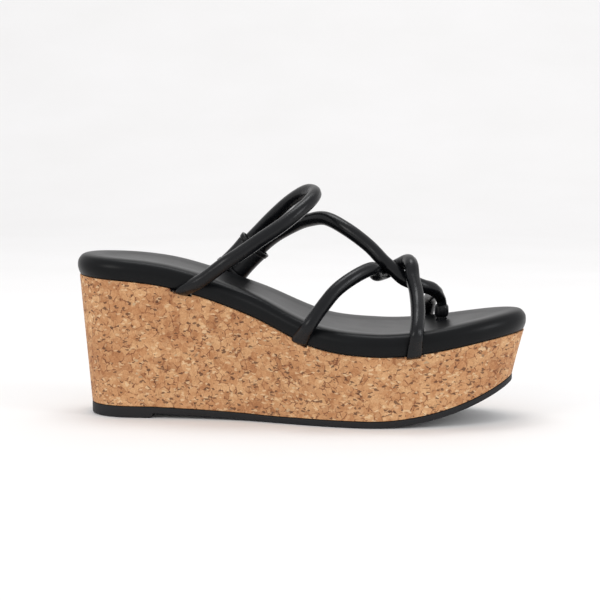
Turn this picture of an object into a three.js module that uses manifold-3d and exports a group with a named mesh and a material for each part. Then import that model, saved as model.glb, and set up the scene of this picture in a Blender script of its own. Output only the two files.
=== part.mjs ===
// Wedge sandal for the right foot: cork-covered wedge, padded footbed and round leather straps
// that hook through each other over the forefoot. Millimetres, +Z up, +X towards the toe and
// +Y towards the inner (medial) side of the foot.
import * as THREE from 'three';
import { mergeVertices } from 'three/addons/utils/BufferGeometryUtils.js';
import Module from 'manifold-3d';

const wasm = await Module();
wasm.setup();

// ---------------------------------------------------------------- driving dimensions, mm
const CLEARANCE = 0.3;
const CUT_CLEARANCE = 0.35;

// Footbed plan. Stations are shares of the footbed's length, counted from the back of the heel.
const FOOTBED_LENGTH = 246;
const HEEL_HALF_WIDTH = 28.5;
const WAIST_HALF_WIDTH = 27;
const BALL_HALF_WIDTH = 43.5;
const HEEL_ROUND = 32;
const TOE_ROUND = 78;
const HEEL_ROUND_POWER = 2.2;
const TOE_ROUND_POWER = 2;
const HEEL_SEAT_AT = 0.14;
const WAIST_AT = 0.36;
const BALL_AT = 0.67;
const TOE_ROOT_AT = 0.8;
const WAIST_SWING = -4.5;
const TOE_SWING = 2;

// Height above the floor of the joint line between the cork wall and the footbed
const HEEL_HEIGHT = 77.5;
const SEAT_END_AT = 0.22;
const SEAT_END_HEIGHT = 72;
const SHANK_AT = 0.4;
const SHANK_HEIGHT = 58.4;
const DROP_END_AT = 0.565;
const DROP_END_HEIGHT = 41.6;
const BALL_HEIGHT = 38.5;
const TOE_HEIGHT = 49;

// Outsole with a heel lift moulded in one piece with it
const OUTSOLE_THICKNESS = 3.4;
const HEEL_LIFT_LENGTH = 44;
const HEEL_LIFT_STEP = 2.6;
const LIFT_STEP_RUN = 1.2;
const WAIST_MEETS_FLOOR_AT = 0.45;
const TOE_SPRING = 25;
const OUTSOLE_EDGE_ROUND = 0.7;

// Wedge: foam core inside a cork sheet
const TAPER_AT_ENDS = 6.2;
const TAPER_AT_SIDES = 3.5;
const CORK_SHEET = 1.6;

// Footbed layers, counted up from the joint line
const COVER_LEATHER = 1.2;
const COVER_TURN_IN = 9;
const FOOTBED_DEPTH = 12;
const FOOTBED_BULGE = 1;
const FOOTBED_EDGE_ROUND = 6;
const FOOTBED_DISH = 0.8;
const FOAM_CLEARANCE = 0.45;
const COVER_LIP_INSET = 0.6;
const FOAM_LOWEST_RING = 1;

// The footbed's side: heights as shares of its depth, with the bulge there as a share of the most
const SIDE_BULGE = [[0.18, 0.6], [0.42, 1], [0.68, 0.5]];
// The rounded upper edge: insets as shares of the round, with the height as a share of the depth
const EDGE_SHAPE = [[0.2, 0.88], [0.55, 0.97], [1, 1]];
const DISH_STARTS_AT = 3;
const BOARD_INSET = 3;
const BOARD_THICKNESS = 2;

// Shank strip and its rivets
const SHANK_START_AT = 0.2;
const SHANK_END_AT = 0.58;
const SHANK_WIDTH = 11;
const SHANK_STEEL = 1.2;
const RIVET_INSET = 9;
const RIVET_RADIUS = 1.5;
const RIVET_HEAD_RADIUS = 3;
const RIVET_HEAD = 0.6;

// Straps: a leather skin rolled round a cord, flattened where it is lasted under the footbed
const STRAP_DIAMETER = 7.6;
const STRAP_SKIN = 1.2;
const TAB_HALF_WIDTH = 4.8;
const TAB_HALF_THICKNESS = 1.3;
const TAB_SKIN = 1;
const TAB_LENGTH = 17;
const TAB_BENDS_AT = 2;
const BAND_STAND_OFF = 4.2;
const TURN_UP_IN = 1.6;
const TURN_UP_BELOW = 0.8;
const TURN_UP_RISE = 2.2;
const TURN_UP_DRAWN_IN = 0.2;
const BAND_TOP_SHORT = 1;
const FLAT_UNTIL = 17;
const ROUND_FROM = 40;
const CORD_END_BACK = 36;
const SHORT_FLAT_UNTIL = 17;
const SHORT_ROUND_FROM = 32;
const SHORT_CORD_END_BACK = 24;
const STRAP_SIDES = 8;
const STRAP_STEP = 7;
const SHORTEST_LAST_STEP = 1.5;
const BEND_PROBE = 0.5;
const ARC_SAMPLES = 600;
const FRAME_SAMPLES = 200;
const TURN_PER_STEP = THREE.MathUtils.degToRad(20);

// Where each strap end enters the joint line
const INSTEP_AT = 0.252;
const ARCH_REAR_AT = 0.518;
const ARCH_FRONT_AT = 0.765;
const TOE_MEDIAL_AT = 0.775;
const MEDIAL_REAR_AT = 0.256;
const MEDIAL_FRONT_AT = 0.303;
const MEDIAL_BAND_POINTS = 5;

// How far each strap leans towards the toe for each millimetre that it rises over the side band
const INSTEP_LEAN = 1.15;
const ARCH_REAR_LEAN = 0.55;
const ARCH_FRONT_LEAN = 0.05;
const TOE_MEDIAL_LEAN = 0;
const MEDIAL_LEAN = 0.9;

// Sleeve that joins the two inner straps to the two tubes below them
const SLEEVE_AT = 0.35;
const SLEEVE_ACROSS = 34;
const SLEEVE_ABOVE = 20.5;
const SLEEVE_TILT = THREE.MathUtils.degToRad(47);
const SLEEVE_LENGTH = 22;
const SLEEVE_LEATHER = 1.1;
const SLEEVE_END_ROUNDNESS = 0.95;
const TUBE_STRAIGHT_PAST_SLEEVE = 2;
const ELASTIC_LENGTH = 7.4;
const ELASTIC_THICKNESS = 2.2;
const ELASTIC_INSET = 1;

// Knot: the arch strap hooks round the cross strap
const KNOT_AT = 0.712;
const KNOT_ACROSS = -5;
const KNOT_ABOVE = 42.6;
const KNOT_PITCH = THREE.MathUtils.degToRad(40);
const KNOT_GAP = 0.8;

// Toe post between the big and the second toe
const POST_AT = 0.815;
const POST_ACROSS = 13;
const LEG_HALF_WIDTH = 2.7;
const LEG_HALF_THICKNESS = 1.4;
const LEG_SKIN = 0.95;
const LEG_GAP = 0.6;
const LEG_FLAT_ABOVE = 9;
const LEG_ROUNDS_OVER = 14;
const LEG_CORD_STOPS = 12;
const LEG_FOOT = -0.2;
const WRAP_HEIGHT = 6.5;
const WRAP_LEATHER = 1.1;
const WRAP_STAND_OFF = 0.9;
const WRAP_CORNER = 0.6;
const ANCHOR_PLATE = 15;
const ANCHOR_PLATE_THICKNESS = 1.5;

// Tacks that hold the strap tabs to the insole board
const TACK_INSET = 13;
const TACK_RADIUS = 0.6;
const TACK_HEAD_RADIUS = 1.8;
const TACK_HEAD = 0.5;
const TACK_BITE = 1.4;

// Mesh fineness
const STATION_COUNT = 26;
const TURNED_SIDES = 10;
const CUT_PAST_SHARE = 0.02;
const STEP_STATION_CLEAR = 2.5;

// ---------------------------------------------------------------- curves that shape the sandal

// A smooth curve through points given as [position, value], as a function of position
function smoothCurve(points) {
  const slopes = points.map((point, i) => {
    const before = points[Math.max(i - 1, 0)];
    const after = points[Math.min(i + 1, points.length - 1)];
    if (before === point || after === point) {
      return (after[1] - before[1]) / (after[0] - before[0]);
    }
    const runBefore = point[0] - before[0];
    const runAfter = after[0] - point[0];
    const riseBefore = (point[1] - before[1]) / runBefore;
    const riseAfter = (after[1] - point[1]) / runAfter;
    return (riseBefore * runAfter + riseAfter * runBefore) / (runBefore + runAfter);
  });
  return (at) => {
    const last = points.length - 2;
    const found = points.findIndex((point, i) => i <= last && at <= points[i + 1][0]);
    const i = found < 0 ? last : found;
    const run = points[i + 1][0] - points[i][0];
    const t = (at - points[i][0]) / run;
    const fade = t * t * (3 - 2 * t);
    const bendIn = t * (1 - t) * (1 - t) * run * slopes[i];
    const bendOut = t * t * (t - 1) * run * slopes[i + 1];
    return points[i][1] * (1 - fade) + points[i + 1][1] * fade + bendIn + bendOut;
  };
}

const halfWidthBeforeRounding = smoothCurve([
  [0, HEEL_HALF_WIDTH],
  [HEEL_SEAT_AT, HEEL_HALF_WIDTH],
  [WAIST_AT, WAIST_HALF_WIDTH],
  [BALL_AT, BALL_HALF_WIDTH],
  [TOE_ROOT_AT, BALL_HALF_WIDTH],
  [1, BALL_HALF_WIDTH],
]);

const centreLine = smoothCurve([
  [0, 0],
  [HEEL_SEAT_AT, 0.5],
  [(WAIST_AT + BALL_AT) / 2, WAIST_SWING],
  [TOE_ROOT_AT, 0],
  [1, TOE_SWING],
]);

const jointLineAtShare = smoothCurve([
  [0, HEEL_HEIGHT],
  [SEAT_END_AT, SEAT_END_HEIGHT],
  [SHANK_AT, SHANK_HEIGHT],
  [DROP_END_AT, DROP_END_HEIGHT],
  [BALL_AT, BALL_HEIGHT],
  [1, TOE_HEIGHT],
]);

// The heel and toe close with a rounded end: 0 at the tip, 1 once the round is over
function endRounding(fromTip, length, power) {
  const inside = Math.max(0, 1 - fromTip / length);
  return Math.pow(Math.max(0, 1 - Math.pow(inside, power)), 1 / power);
}

function halfWidth(x) {
  const heel = endRounding(x, HEEL_ROUND, HEEL_ROUND_POWER);
  const toe = endRounding(FOOTBED_LENGTH - x, TOE_ROUND, TOE_ROUND_POWER);
  return halfWidthBeforeRounding(x / FOOTBED_LENGTH) * heel * toe;
}

function jointLine(x) {
  return jointLineAtShare(x / FOOTBED_LENGTH);
}

function jointSlope(x) {
  return (jointLine(x + 1) - jointLine(x - 1)) / 2;
}

// Lift of the tread off the floor towards the toe, as an arc that starts under the ball
function toeSpring(x) {
  const run = FOOTBED_LENGTH * (1 - BALL_AT);
  const radius = (run * run + TOE_SPRING * TOE_SPRING) / (2 * TOE_SPRING);
  const past = Math.max(0, x - FOOTBED_LENGTH * BALL_AT);
  return radius - Math.sqrt(radius * radius - past * past);
}

function waistRise(x) {
  const end = FOOTBED_LENGTH * WAIST_MEETS_FLOOR_AT;
  const share = (end - x) / (end - HEEL_LIFT_LENGTH);
  return HEEL_LIFT_STEP * THREE.MathUtils.clamp(share, 0, 1);
}

function outsoleBottom(x) {
  return x < HEEL_LIFT_LENGTH ? 0 : waistRise(x) + toeSpring(x);
}

function outsoleTop(x) {
  return OUTSOLE_THICKNESS + waistRise(x) + toeSpring(x);
}

// ---------------------------------------------------------------- rings and lofts

function stationsAlong() {
  const stations = [];
  for (let i = 0; i <= STATION_COUNT; i += 1) {
    const x = FOOTBED_LENGTH * (1 - Math.cos(Math.PI * i / STATION_COUNT)) / 2;
    if (Math.abs(x - HEEL_LIFT_LENGTH) > STEP_STATION_CLEAR) stations.push(x);
  }
  stations.push(HEEL_LIFT_LENGTH - LIFT_STEP_RUN / 2);
  stations.push(HEEL_LIFT_LENGTH + LIFT_STEP_RUN / 2);
  return stations.sort((a, b) => a - b);
}

const STATIONS = stationsAlong();

// The outline, from the heel tip along the outer side to the toe and back along the inner side
function outlineStations() {
  const last = STATIONS.length - 1;
  const outer = STATIONS.map((x) => ({ x, side: -1 }));
  const inner = STATIONS.slice(1, last).reverse().map((x) => ({ x, side: 1 }));
  return outer.concat(inner);
}

const OUTLINE_STATIONS = outlineStations();

function outlinePoint(x, side) {
  const share = x / FOOTBED_LENGTH;
  return new THREE.Vector2(x, centreLine(share) + side * halfWidth(x));
}

const OUTLINE = OUTLINE_STATIONS.map(({ x, side }) => outlinePoint(x, side));

const OUTLINE_NORMALS = OUTLINE.map((point, i) => {
  const next = OUTLINE[(i + 1) % OUTLINE.length];
  const previous = OUTLINE[(i + OUTLINE.length - 1) % OUTLINE.length];
  return new THREE.Vector2(next.y - previous.y, previous.x - next.x).normalize();
});

// One closed ring round the sandal, set in from the footbed's outline by `inset` and by a
// share of the wedge wall's taper, which is wider at the heel and toe than along the sides
function ring(inset, heightAt, taperShare = 0) {
  return OUTLINE.map((point, i) => {
    const normal = OUTLINE_NORMALS[i];
    const taper = THREE.MathUtils.lerp(TAPER_AT_SIDES, TAPER_AT_ENDS, Math.abs(normal.x));
    const moved = point.clone().addScaledVector(normal, -inset - taper * taperShare);
    return new THREE.Vector3(moved.x, moved.y, heightAt(moved.x));
  });
}

function layerRing(inset, height) {
  return ring(inset, (x) => jointLine(x) + height);
}

function geometryFrom(points, faces) {
  const geometry = new THREE.BufferGeometry();
  const flat = points.flatMap((point) => [point.x, point.y, point.z]);
  geometry.setAttribute('position', new THREE.Float32BufferAttribute(flat, 3));
  geometry.setIndex(faces);
  return geometry;
}

// Quads between consecutive rings, as triangles facing out
function wallFaces(ringCount, sides, closed) {
  const faces = [];
  const walls = closed ? ringCount : ringCount - 1;
  for (let k = 0; k < walls; k += 1) {
    const low = k * sides;
    const high = ((k + 1) % ringCount) * sides;
    for (let i = 0; i < sides; i += 1) {
      const next = (i + 1) % sides;
      faces.push(low + i, low + next, high + next);
      faces.push(low + i, high + next, high + i);
    }
  }
  return faces;
}

// A cap across one outline ring, laid in strips from side to side
function stripCap(first, sides, facesUp) {
  const faces = [];
  const add = (a, b, c) => faces.push(...(facesUp ? [a, b, c] : [a, c, b]));
  const half = sides / 2;
  for (let i = 0; i < half; i += 1) {
    const outer = first + i;
    const outerNext = first + i + 1;
    const inner = first + (sides - i) % sides;
    const innerNext = first + sides - i - 1;
    if (i < half - 1) add(outer, outerNext, innerNext);
    if (i > 0) add(outer, i < half - 1 ? innerNext : first + half, inner);
  }
  return faces;
}

// A solid through a stack of outline rings, from the lowest to the highest
function stackedSolid(rings) {
  const sides = rings[0].length;
  const faces = wallFaces(rings.length, sides, false);
  faces.push(...stripCap(0, sides, false));
  faces.push(...stripCap((rings.length - 1) * sides, sides, true));
  return geometryFrom(rings.flat(), faces);
}

// A band whose rings run up the outside and down the inside
function closedBand(rings) {
  return geometryFrom(rings.flat(), wallFaces(rings.length, rings[0].length, true));
}

// ---------------------------------------------------------------- cutting

function toManifold(geometry) {
  const bare = geometry.clone();
  bare.deleteAttribute('normal');
  bare.deleteAttribute('uv');
  const merged = mergeVertices(bare, 1e-4);
  return new wasm.Manifold(new wasm.Mesh({
    numProp: 3,
    vertProperties: new Float32Array(merged.attributes.position.array),
    triVerts: new Uint32Array(merged.index.array),
  }));
}

function fromManifold(solid) {
  const mesh = solid.getMesh();
  const geometry = new THREE.BufferGeometry();
  const positions = new THREE.BufferAttribute(new Float32Array(mesh.vertProperties), 3);
  geometry.setAttribute('position', positions);
  geometry.setIndex(Array.from(mesh.triVerts));
  return geometry;
}

function cut(geometry, tools) {
  let solid = toManifold(geometry);
  for (const tool of tools) solid = solid.subtract(toManifold(tool));
  return fromManifold(solid);
}

// ---------------------------------------------------------------- straps

function pointOver(share, across, above) {
  const x = share * FOOTBED_LENGTH;
  return new THREE.Vector3(x, across, jointLine(x) + above);
}

// Points from a tab's inner end, out under the footbed's edge and up its side band
function anchorPoints(anchor) {
  const steps = [
    [-TAB_LENGTH, -TAB_HALF_THICKNESS],
    [-TAB_LENGTH / 2, -TAB_HALF_THICKNESS],
    [-TAB_BENDS_AT, -TAB_HALF_THICKNESS],
    [BAND_STAND_OFF - TURN_UP_IN, -TURN_UP_BELOW],
    [BAND_STAND_OFF - TURN_UP_DRAWN_IN, TURN_UP_RISE],
    [BAND_STAND_OFF, FOOTBED_DEPTH / 2],
    [BAND_STAND_OFF, FOOTBED_DEPTH - BAND_TOP_SHORT],
  ];
  return steps.map(([out, above]) => {
    const x = anchor.share * FOOTBED_LENGTH + anchor.lean * Math.max(0, above);
    const rim = outlinePoint(x, anchor.side);
    const along = outlinePoint(x + 1, anchor.side).sub(rim).normalize();
    const outward = new THREE.Vector2(along.y, -along.x).multiplyScalar(-anchor.side);
    const point = rim.addScaledVector(outward, out);
    return new THREE.Vector3(point.x, point.y, jointLine(point.x) + above);
  });
}

function rimDirection(anchor) {
  const x = anchor.share * FOOTBED_LENGTH;
  const flat = outlinePoint(x + 1, anchor.side).sub(outlinePoint(x - 1, anchor.side));
  return new THREE.Vector3(flat.x, flat.y, jointSlope(x) * flat.x).normalize();
}

// The kinds of strap end: how flat it is, for how far, and where its cord stops
const TAB_END = {
  halfWidth: TAB_HALF_WIDTH,
  halfThickness: TAB_HALF_THICKNESS,
  skin: TAB_SKIN,
  flatUntil: FLAT_UNTIL,
  roundFrom: ROUND_FROM,
  cordBack: CORD_END_BACK,
};
const SHORT_TAB_END = {
  ...TAB_END,
  flatUntil: SHORT_FLAT_UNTIL,
  roundFrom: SHORT_ROUND_FROM,
  cordBack: SHORT_CORD_END_BACK,
};
const SLEEVE_END = {
  halfWidth: STRAP_DIAMETER / 2,
  halfThickness: STRAP_DIAMETER / 2,
  skin: STRAP_SKIN,
  flatUntil: 1,
  roundFrom: 2,
  cordBack: 1,
};
const LEG_END = {
  halfWidth: LEG_HALF_WIDTH,
  halfThickness: LEG_HALF_THICKNESS,
  skin: LEG_SKIN,
  flatUntil: FOOTBED_DEPTH + LEG_FLAT_ABOVE,
  roundFrom: FOOTBED_DEPTH + LEG_FLAT_ABOVE + LEG_ROUNDS_OVER,
  cordBack: FOOTBED_DEPTH + LEG_FLAT_ABOVE + LEG_CORD_STOPS,
};

function roundness(end, distance) {
  return THREE.MathUtils.smoothstep(distance, end.flatUntil, end.roundFrom);
}

// Half width, half thickness and skin of a strap at a distance from each of its ends
function strapSection(strap, fromStart, fromEnd) {
  const flatStart = 1 - roundness(strap.startEnd, fromStart);
  const flatFinish = 1 - roundness(strap.finishEnd, fromEnd);
  const between = (round, size) => {
    const start = (strap.startEnd[size] - round) * flatStart;
    return round + start + (strap.finishEnd[size] - round) * flatFinish;
  };
  return {
    halfWidth: between(STRAP_DIAMETER / 2, 'halfWidth'),
    halfThickness: between(STRAP_DIAMETER / 2, 'halfThickness'),
    skin: between(STRAP_SKIN, 'skin'),
  };
}

// Distances along a strap, close together where it bends
function stepsAlong(strap) {
  const tangentAt = (distance) => strap.curve.getTangentAt(distance / strap.length);
  const steps = [0];
  let from = tangentAt(0);
  for (let at = BEND_PROBE; at < strap.length - BEND_PROBE; at += BEND_PROBE) {
    const run = at - steps[steps.length - 1];
    const bent = tangentAt(at).angleTo(from) > TURN_PER_STEP;
    if (run < STRAP_STEP && !bent) continue;
    steps.push(at);
    from = tangentAt(at);
  }
  if (strap.length - steps[steps.length - 1] < SHORTEST_LAST_STEP) steps.pop();
  steps.push(strap.length);
  return steps;
}

// Frames that turn as little as they can, with what twist is left shared out along the strap
function framesAlong(strap, distances) {
  const shareOf = (distance) => THREE.MathUtils.clamp(distance / strap.length, 0, 1);
  const tangentAt = (distance) => strap.curve.getTangentAt(shareOf(distance));
  const squared = (hint, tangent) => {
    return hint.clone().addScaledVector(tangent, -hint.dot(tangent)).normalize();
  };
  const frames = [];
  let across = squared(strap.startAcross, tangentAt(0));
  const turning = [];
  for (let i = 0; i <= FRAME_SAMPLES; i += 1) {
    const tangent = tangentAt(strap.length * i / FRAME_SAMPLES);
    across = squared(across, tangent);
    turning.push(across.clone());
  }
  const lastTangent = tangentAt(strap.length);
  const wanted = squared(strap.finishAcross, lastTangent);
  let twist = Math.atan2(
    new THREE.Vector3().crossVectors(turning[FRAME_SAMPLES], wanted).dot(lastTangent),
    turning[FRAME_SAMPLES].dot(wanted),
  );
  if (twist > Math.PI / 2) twist -= Math.PI;
  if (twist < -Math.PI / 2) twist += Math.PI;
  for (const distance of distances) {
    const share = shareOf(distance);
    const tangent = tangentAt(distance);
    const near = squared(turning[Math.round(share * FRAME_SAMPLES)], tangent);
    const free = strap.length - strap.finishEnd.flatUntil;
    const twisted = THREE.MathUtils.smoothstep(distance, strap.startEnd.flatUntil, free);
    const turned = near.applyAxisAngle(tangent, twist * twisted);
    const through = new THREE.Vector3().crossVectors(tangent, turned);
    const centre = strap.curve.getPointAt(share);
    frames.push({ centre, tangent, across: turned, through });
  }
  return frames;
}

function sectionRing(frame, halfWide, halfThick, shift = 0) {
  const points = [];
  for (let i = 0; i < STRAP_SIDES; i += 1) {
    const angle = 2 * Math.PI * (i + 0.5) / STRAP_SIDES;
    const point = frame.centre.clone().addScaledVector(frame.tangent, shift);
    point.addScaledVector(frame.across, halfWide * Math.cos(angle));
    point.addScaledVector(frame.through, halfThick * Math.sin(angle));
    points.push(point);
  }
  return points;
}

function fanCap(first, sides, forward) {
  const faces = [];
  for (let i = 1; i < sides - 1; i += 1) {
    const turn = forward ? [first, first + i, first + i + 1] : [first, first + i + 1, first + i];
    faces.push(...turn);
  }
  return faces;
}

function sweptSolid(rings) {
  const sides = rings[0].length;
  const faces = wallFaces(rings.length, sides, false);
  faces.push(...fanCap(0, sides, false));
  faces.push(...fanCap((rings.length - 1) * sides, sides, true));
  return geometryFrom(rings.flat(), faces);
}

// A flat-sided tube's corners reach this far past the round it stands for
const CORNER_REACH = 1 / Math.cos(Math.PI / STRAP_SIDES);

function makeStrap(points, startEnd, finishEnd, startAcross, finishAcross) {
  const curve = new THREE.CatmullRomCurve3(points, false, 'centripetal');
  curve.arcLengthDivisions = ARC_SAMPLES;
  const length = curve.getLength();
  const strap = { curve, length, startEnd, finishEnd, startAcross, finishAcross };
  strap.steps = stepsAlong(strap);
  return strap;
}

function ringsOf(strap, from, to, sizeAt) {
  const distances = strap.steps.filter((at) => at >= from && at <= to);
  return framesAlong(strap, distances).map((frame, i) => {
    const at = distances[i];
    const size = sizeAt(strapSection(strap, at, strap.length - at));
    return sectionRing(frame, size[0], size[1]);
  });
}

// The leather skin, a tube open at both ends
function strapSkin(strap) {
  const outer = ringsOf(strap, 0, strap.length, (s) => [s.halfWidth, s.halfThickness]);
  const inner = ringsOf(strap, 0, strap.length, (s) => {
    return [s.halfWidth - s.skin, s.halfThickness - s.skin];
  });
  return closedBand(outer.concat(inner.reverse()));
}

// The cord inside, which stops where the skin is flattened
function strapCord(strap) {
  const from = strap.startEnd.cordBack;
  const to = strap.length - strap.finishEnd.cordBack;
  const loose = STRAP_SKIN + CLEARANCE * CORNER_REACH;
  return sweptSolid(ringsOf(strap, from, to, (s) => {
    return [s.halfWidth - loose, s.halfThickness - loose];
  }));
}

// The strap's full shape, grown by the clearance, for cutting its way through other pieces
function strapRoom(strap) {
  const grow = CUT_CLEARANCE * CORNER_REACH;
  const size = (s) => [s.halfWidth + grow, s.halfThickness + grow];
  const rings = ringsOf(strap, 0, strap.length, size);
  const ends = framesAlong(strap, [0, strap.length]);
  const first = size(strapSection(strap, 0, strap.length));
  const last = size(strapSection(strap, strap.length, 0));
  rings.unshift(sectionRing(ends[0], first[0], first[1], -CUT_CLEARANCE));
  rings.push(sectionRing(ends[1], last[0], last[1], CUT_CLEARANCE));
  return sweptSolid(rings);
}

// ---------------------------------------------------------------- strap routes

const sleeveAxis = new THREE.Vector3(Math.cos(SLEEVE_TILT), 0, Math.sin(SLEEVE_TILT));
const sleeveAcross = new THREE.Vector3(Math.sin(SLEEVE_TILT), 0, -Math.cos(SLEEVE_TILT));
const sleeveCentre = pointOver(SLEEVE_AT, SLEEVE_ACROSS, SLEEVE_ABOVE);
const tubeOffset = (STRAP_DIAMETER + CLEARANCE) / 2;
const endFromCentre = ELASTIC_LENGTH / 2 + CLEARANCE;

// A point beside the sleeve's axis: side -1 is the rear tube, 1 the front one
function inSleeve(side, along) {
  const point = sleeveCentre.clone().addScaledVector(sleeveAcross, side * tubeOffset);
  return point.addScaledVector(sleeveAxis, along);
}

const sleeveMouth = SLEEVE_LENGTH / 2 + TUBE_STRAIGHT_PAST_SLEEVE;

const knotAlong = new THREE.Vector3(Math.cos(KNOT_PITCH), 0, -Math.sin(KNOT_PITCH));
const knotOver = new THREE.Vector3(Math.sin(KNOT_PITCH), 0, Math.cos(KNOT_PITCH));
const knotCentre = pointOver(KNOT_AT, KNOT_ACROSS, KNOT_ABOVE);
const knotRadius = STRAP_DIAMETER + KNOT_GAP;

// A point at the knot: distances along the cross strap, over it and towards the inner side,
// the last two counted in spacings between the centres of two touching straps
function atKnot(along, over, inwards) {
  const point = knotCentre.clone().addScaledVector(knotAlong, along);
  point.addScaledVector(knotOver, over * knotRadius);
  point.y += inwards * knotRadius;
  return point;
}

// The toe post's legs stand side by side, -1 on the outer side and 1 on the inner side
function legPoints(side) {
  const across = POST_ACROSS + side * (LEG_HALF_THICKNESS + LEG_GAP / 2);
  const heights = [LEG_FOOT, FOOTBED_DEPTH / 2, FOOTBED_DEPTH, FOOTBED_DEPTH + LEG_FLAT_ABOVE];
  const base = pointOver(POST_AT, across, 0);
  return heights.map((height) => base.clone().setZ(base.z + height));
}

const ALONG_X = new THREE.Vector3(1, 0, 0);

// Side -1 is the outer side of the foot and 1 the inner side
const ANCHORS = {
  instep: { share: INSTEP_AT, side: -1, lean: INSTEP_LEAN },
  archRear: { share: ARCH_REAR_AT, side: -1, lean: ARCH_REAR_LEAN },
  archFront: { share: ARCH_FRONT_AT, side: -1, lean: ARCH_FRONT_LEAN },
  toeMedial: { share: TOE_MEDIAL_AT, side: 1, lean: TOE_MEDIAL_LEAN },
  medialRear: { share: MEDIAL_REAR_AT, side: 1, lean: MEDIAL_LEAN },
  medialFront: { share: MEDIAL_FRONT_AT, side: 1, lean: MEDIAL_LEAN },
};

const instepStrap = makeStrap([
  ...anchorPoints(ANCHORS.instep),
  pointOver(0.352, -33.5, 24),
  pointOver(0.385, -32, 32),
  pointOver(0.424, -29.5, 42.5),
  pointOver(0.47, -25, 55.5),
  pointOver(0.508, -17.5, 67.5),
  pointOver(0.53, -8, 75.5),
  pointOver(0.532, 1, 78.5),
  pointOver(0.512, 10, 77),
  pointOver(0.47, 20, 66.5),
  pointOver(0.424, 27, 51.5),
  inSleeve(-1, sleeveMouth),
  inSleeve(-1, endFromCentre),
], TAB_END, SLEEVE_END, rimDirection(ANCHORS.instep), sleeveAcross);

const crossStrap = makeStrap([
  inSleeve(1, endFromCentre),
  inSleeve(1, sleeveMouth),
  pointOver(0.435, 29.5, 42.5),
  pointOver(0.475, 25, 52.5),
  pointOver(0.513, 18, 60.5),
  pointOver(0.553, 10.5, 65.5),
  pointOver(0.6, 4, 63),
  pointOver(0.655, -1, 55),
  atKnot(-7, 0, 0.05),
  atKnot(0, 0, 0),
  atKnot(7, 0, 0),
  pointOver(0.772, -2, 33),
  pointOver(0.798, 4, 29.2),
  ...legPoints(-1).reverse(),
], SLEEVE_END, LEG_END, sleeveAcross, ALONG_X);

const archStrap = makeStrap([
  ...anchorPoints(ANCHORS.archRear),
  pointOver(0.567, -41, 23),
  pointOver(0.596, -35, 33),
  pointOver(0.64, -25, 41.5),
  atKnot(-8, -0.9, -1.1),
  atKnot(-5.5, -1, -0.25),
  atKnot(-3, -0.62, 0.8),
  atKnot(0, 0.25, 1.05),
  atKnot(2.5, 1, 0.4),
  atKnot(5.5, 0.95, -0.55),
  atKnot(9, 0.4, -1.12),
  pointOver(0.765, -21, 31.5),
  pointOver(0.771, -33, 23),
  ...anchorPoints(ANCHORS.archFront).reverse(),
], TAB_END, TAB_END, rimDirection(ANCHORS.archRear), rimDirection(ANCHORS.archFront));

const toeStrap = makeStrap([
  ...legPoints(1),
  pointOver(0.806, 20, 24.6),
  pointOver(0.797, 29, 25.2),
  pointOver(0.786, 38.5, 21),
  ...anchorPoints(ANCHORS.toeMedial).reverse(),
], LEG_END, SHORT_TAB_END, ALONG_X, rimDirection(ANCHORS.toeMedial));

const medialRearTube = makeStrap([
  ...anchorPoints(ANCHORS.medialRear).slice(0, MEDIAL_BAND_POINTS),
  inSleeve(-1, -sleeveMouth),
  inSleeve(-1, -endFromCentre),
], SHORT_TAB_END, SLEEVE_END, rimDirection(ANCHORS.medialRear), sleeveAcross);

const medialFrontTube = makeStrap([
  ...anchorPoints(ANCHORS.medialFront).slice(0, MEDIAL_BAND_POINTS),
  inSleeve(1, -sleeveMouth),
  inSleeve(1, -endFromCentre),
], SHORT_TAB_END, SLEEVE_END, rimDirection(ANCHORS.medialFront), sleeveAcross);

const STRAPS = {
  instep_strap: instepStrap,
  cross_strap: crossStrap,
  arch_strap: archStrap,
  toe_strap: toeStrap,
  medial_rear_tube: medialRearTube,
  medial_front_tube: medialFrontTube,
};

// ---------------------------------------------------------------- small pieces on the insole board

// Layer heights above the joint line
const lipBottom = CLEARANCE;
const lipTop = lipBottom + COVER_LEATHER;
const boardBottom = lipTop + CLEARANCE;
const boardTop = boardBottom + BOARD_THICKNESS;
const foamBottom = boardTop + CLEARANCE;
const coverCeiling = FOOTBED_DEPTH - COVER_LEATHER;
const foamTop = coverCeiling - CLEARANCE;

// Sets a small piece, modelled upright about its own origin, square on the sloping footbed
function seat(geometry, x, y, above = 0) {
  geometry.translate(0, 0, above);
  geometry.rotateY(-Math.atan(jointSlope(x)));
  geometry.translate(x, y, jointLine(x));
  return geometry;
}

// A turned piece from the radii of its steps, each [radius, bottom, top]
function turned(steps, grow = 0) {
  const profile = [new THREE.Vector2(0, steps[0][1] - grow)];
  steps.forEach(([radius, bottom, top], i) => {
    const above = steps[i + 1];
    const below = steps[i - 1];
    const wideAbove = !above || above[0] < radius;
    const wideBelow = !below || below[0] < radius;
    profile.push(new THREE.Vector2(radius + grow, bottom + (wideBelow ? -grow : grow)));
    profile.push(new THREE.Vector2(radius + grow, top + (wideAbove ? grow : -grow)));
  });
  profile.push(new THREE.Vector2(0, steps[steps.length - 1][2] + grow));
  return new THREE.LatheGeometry(profile, TURNED_SIDES).rotateX(Math.PI / 2);
}

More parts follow.
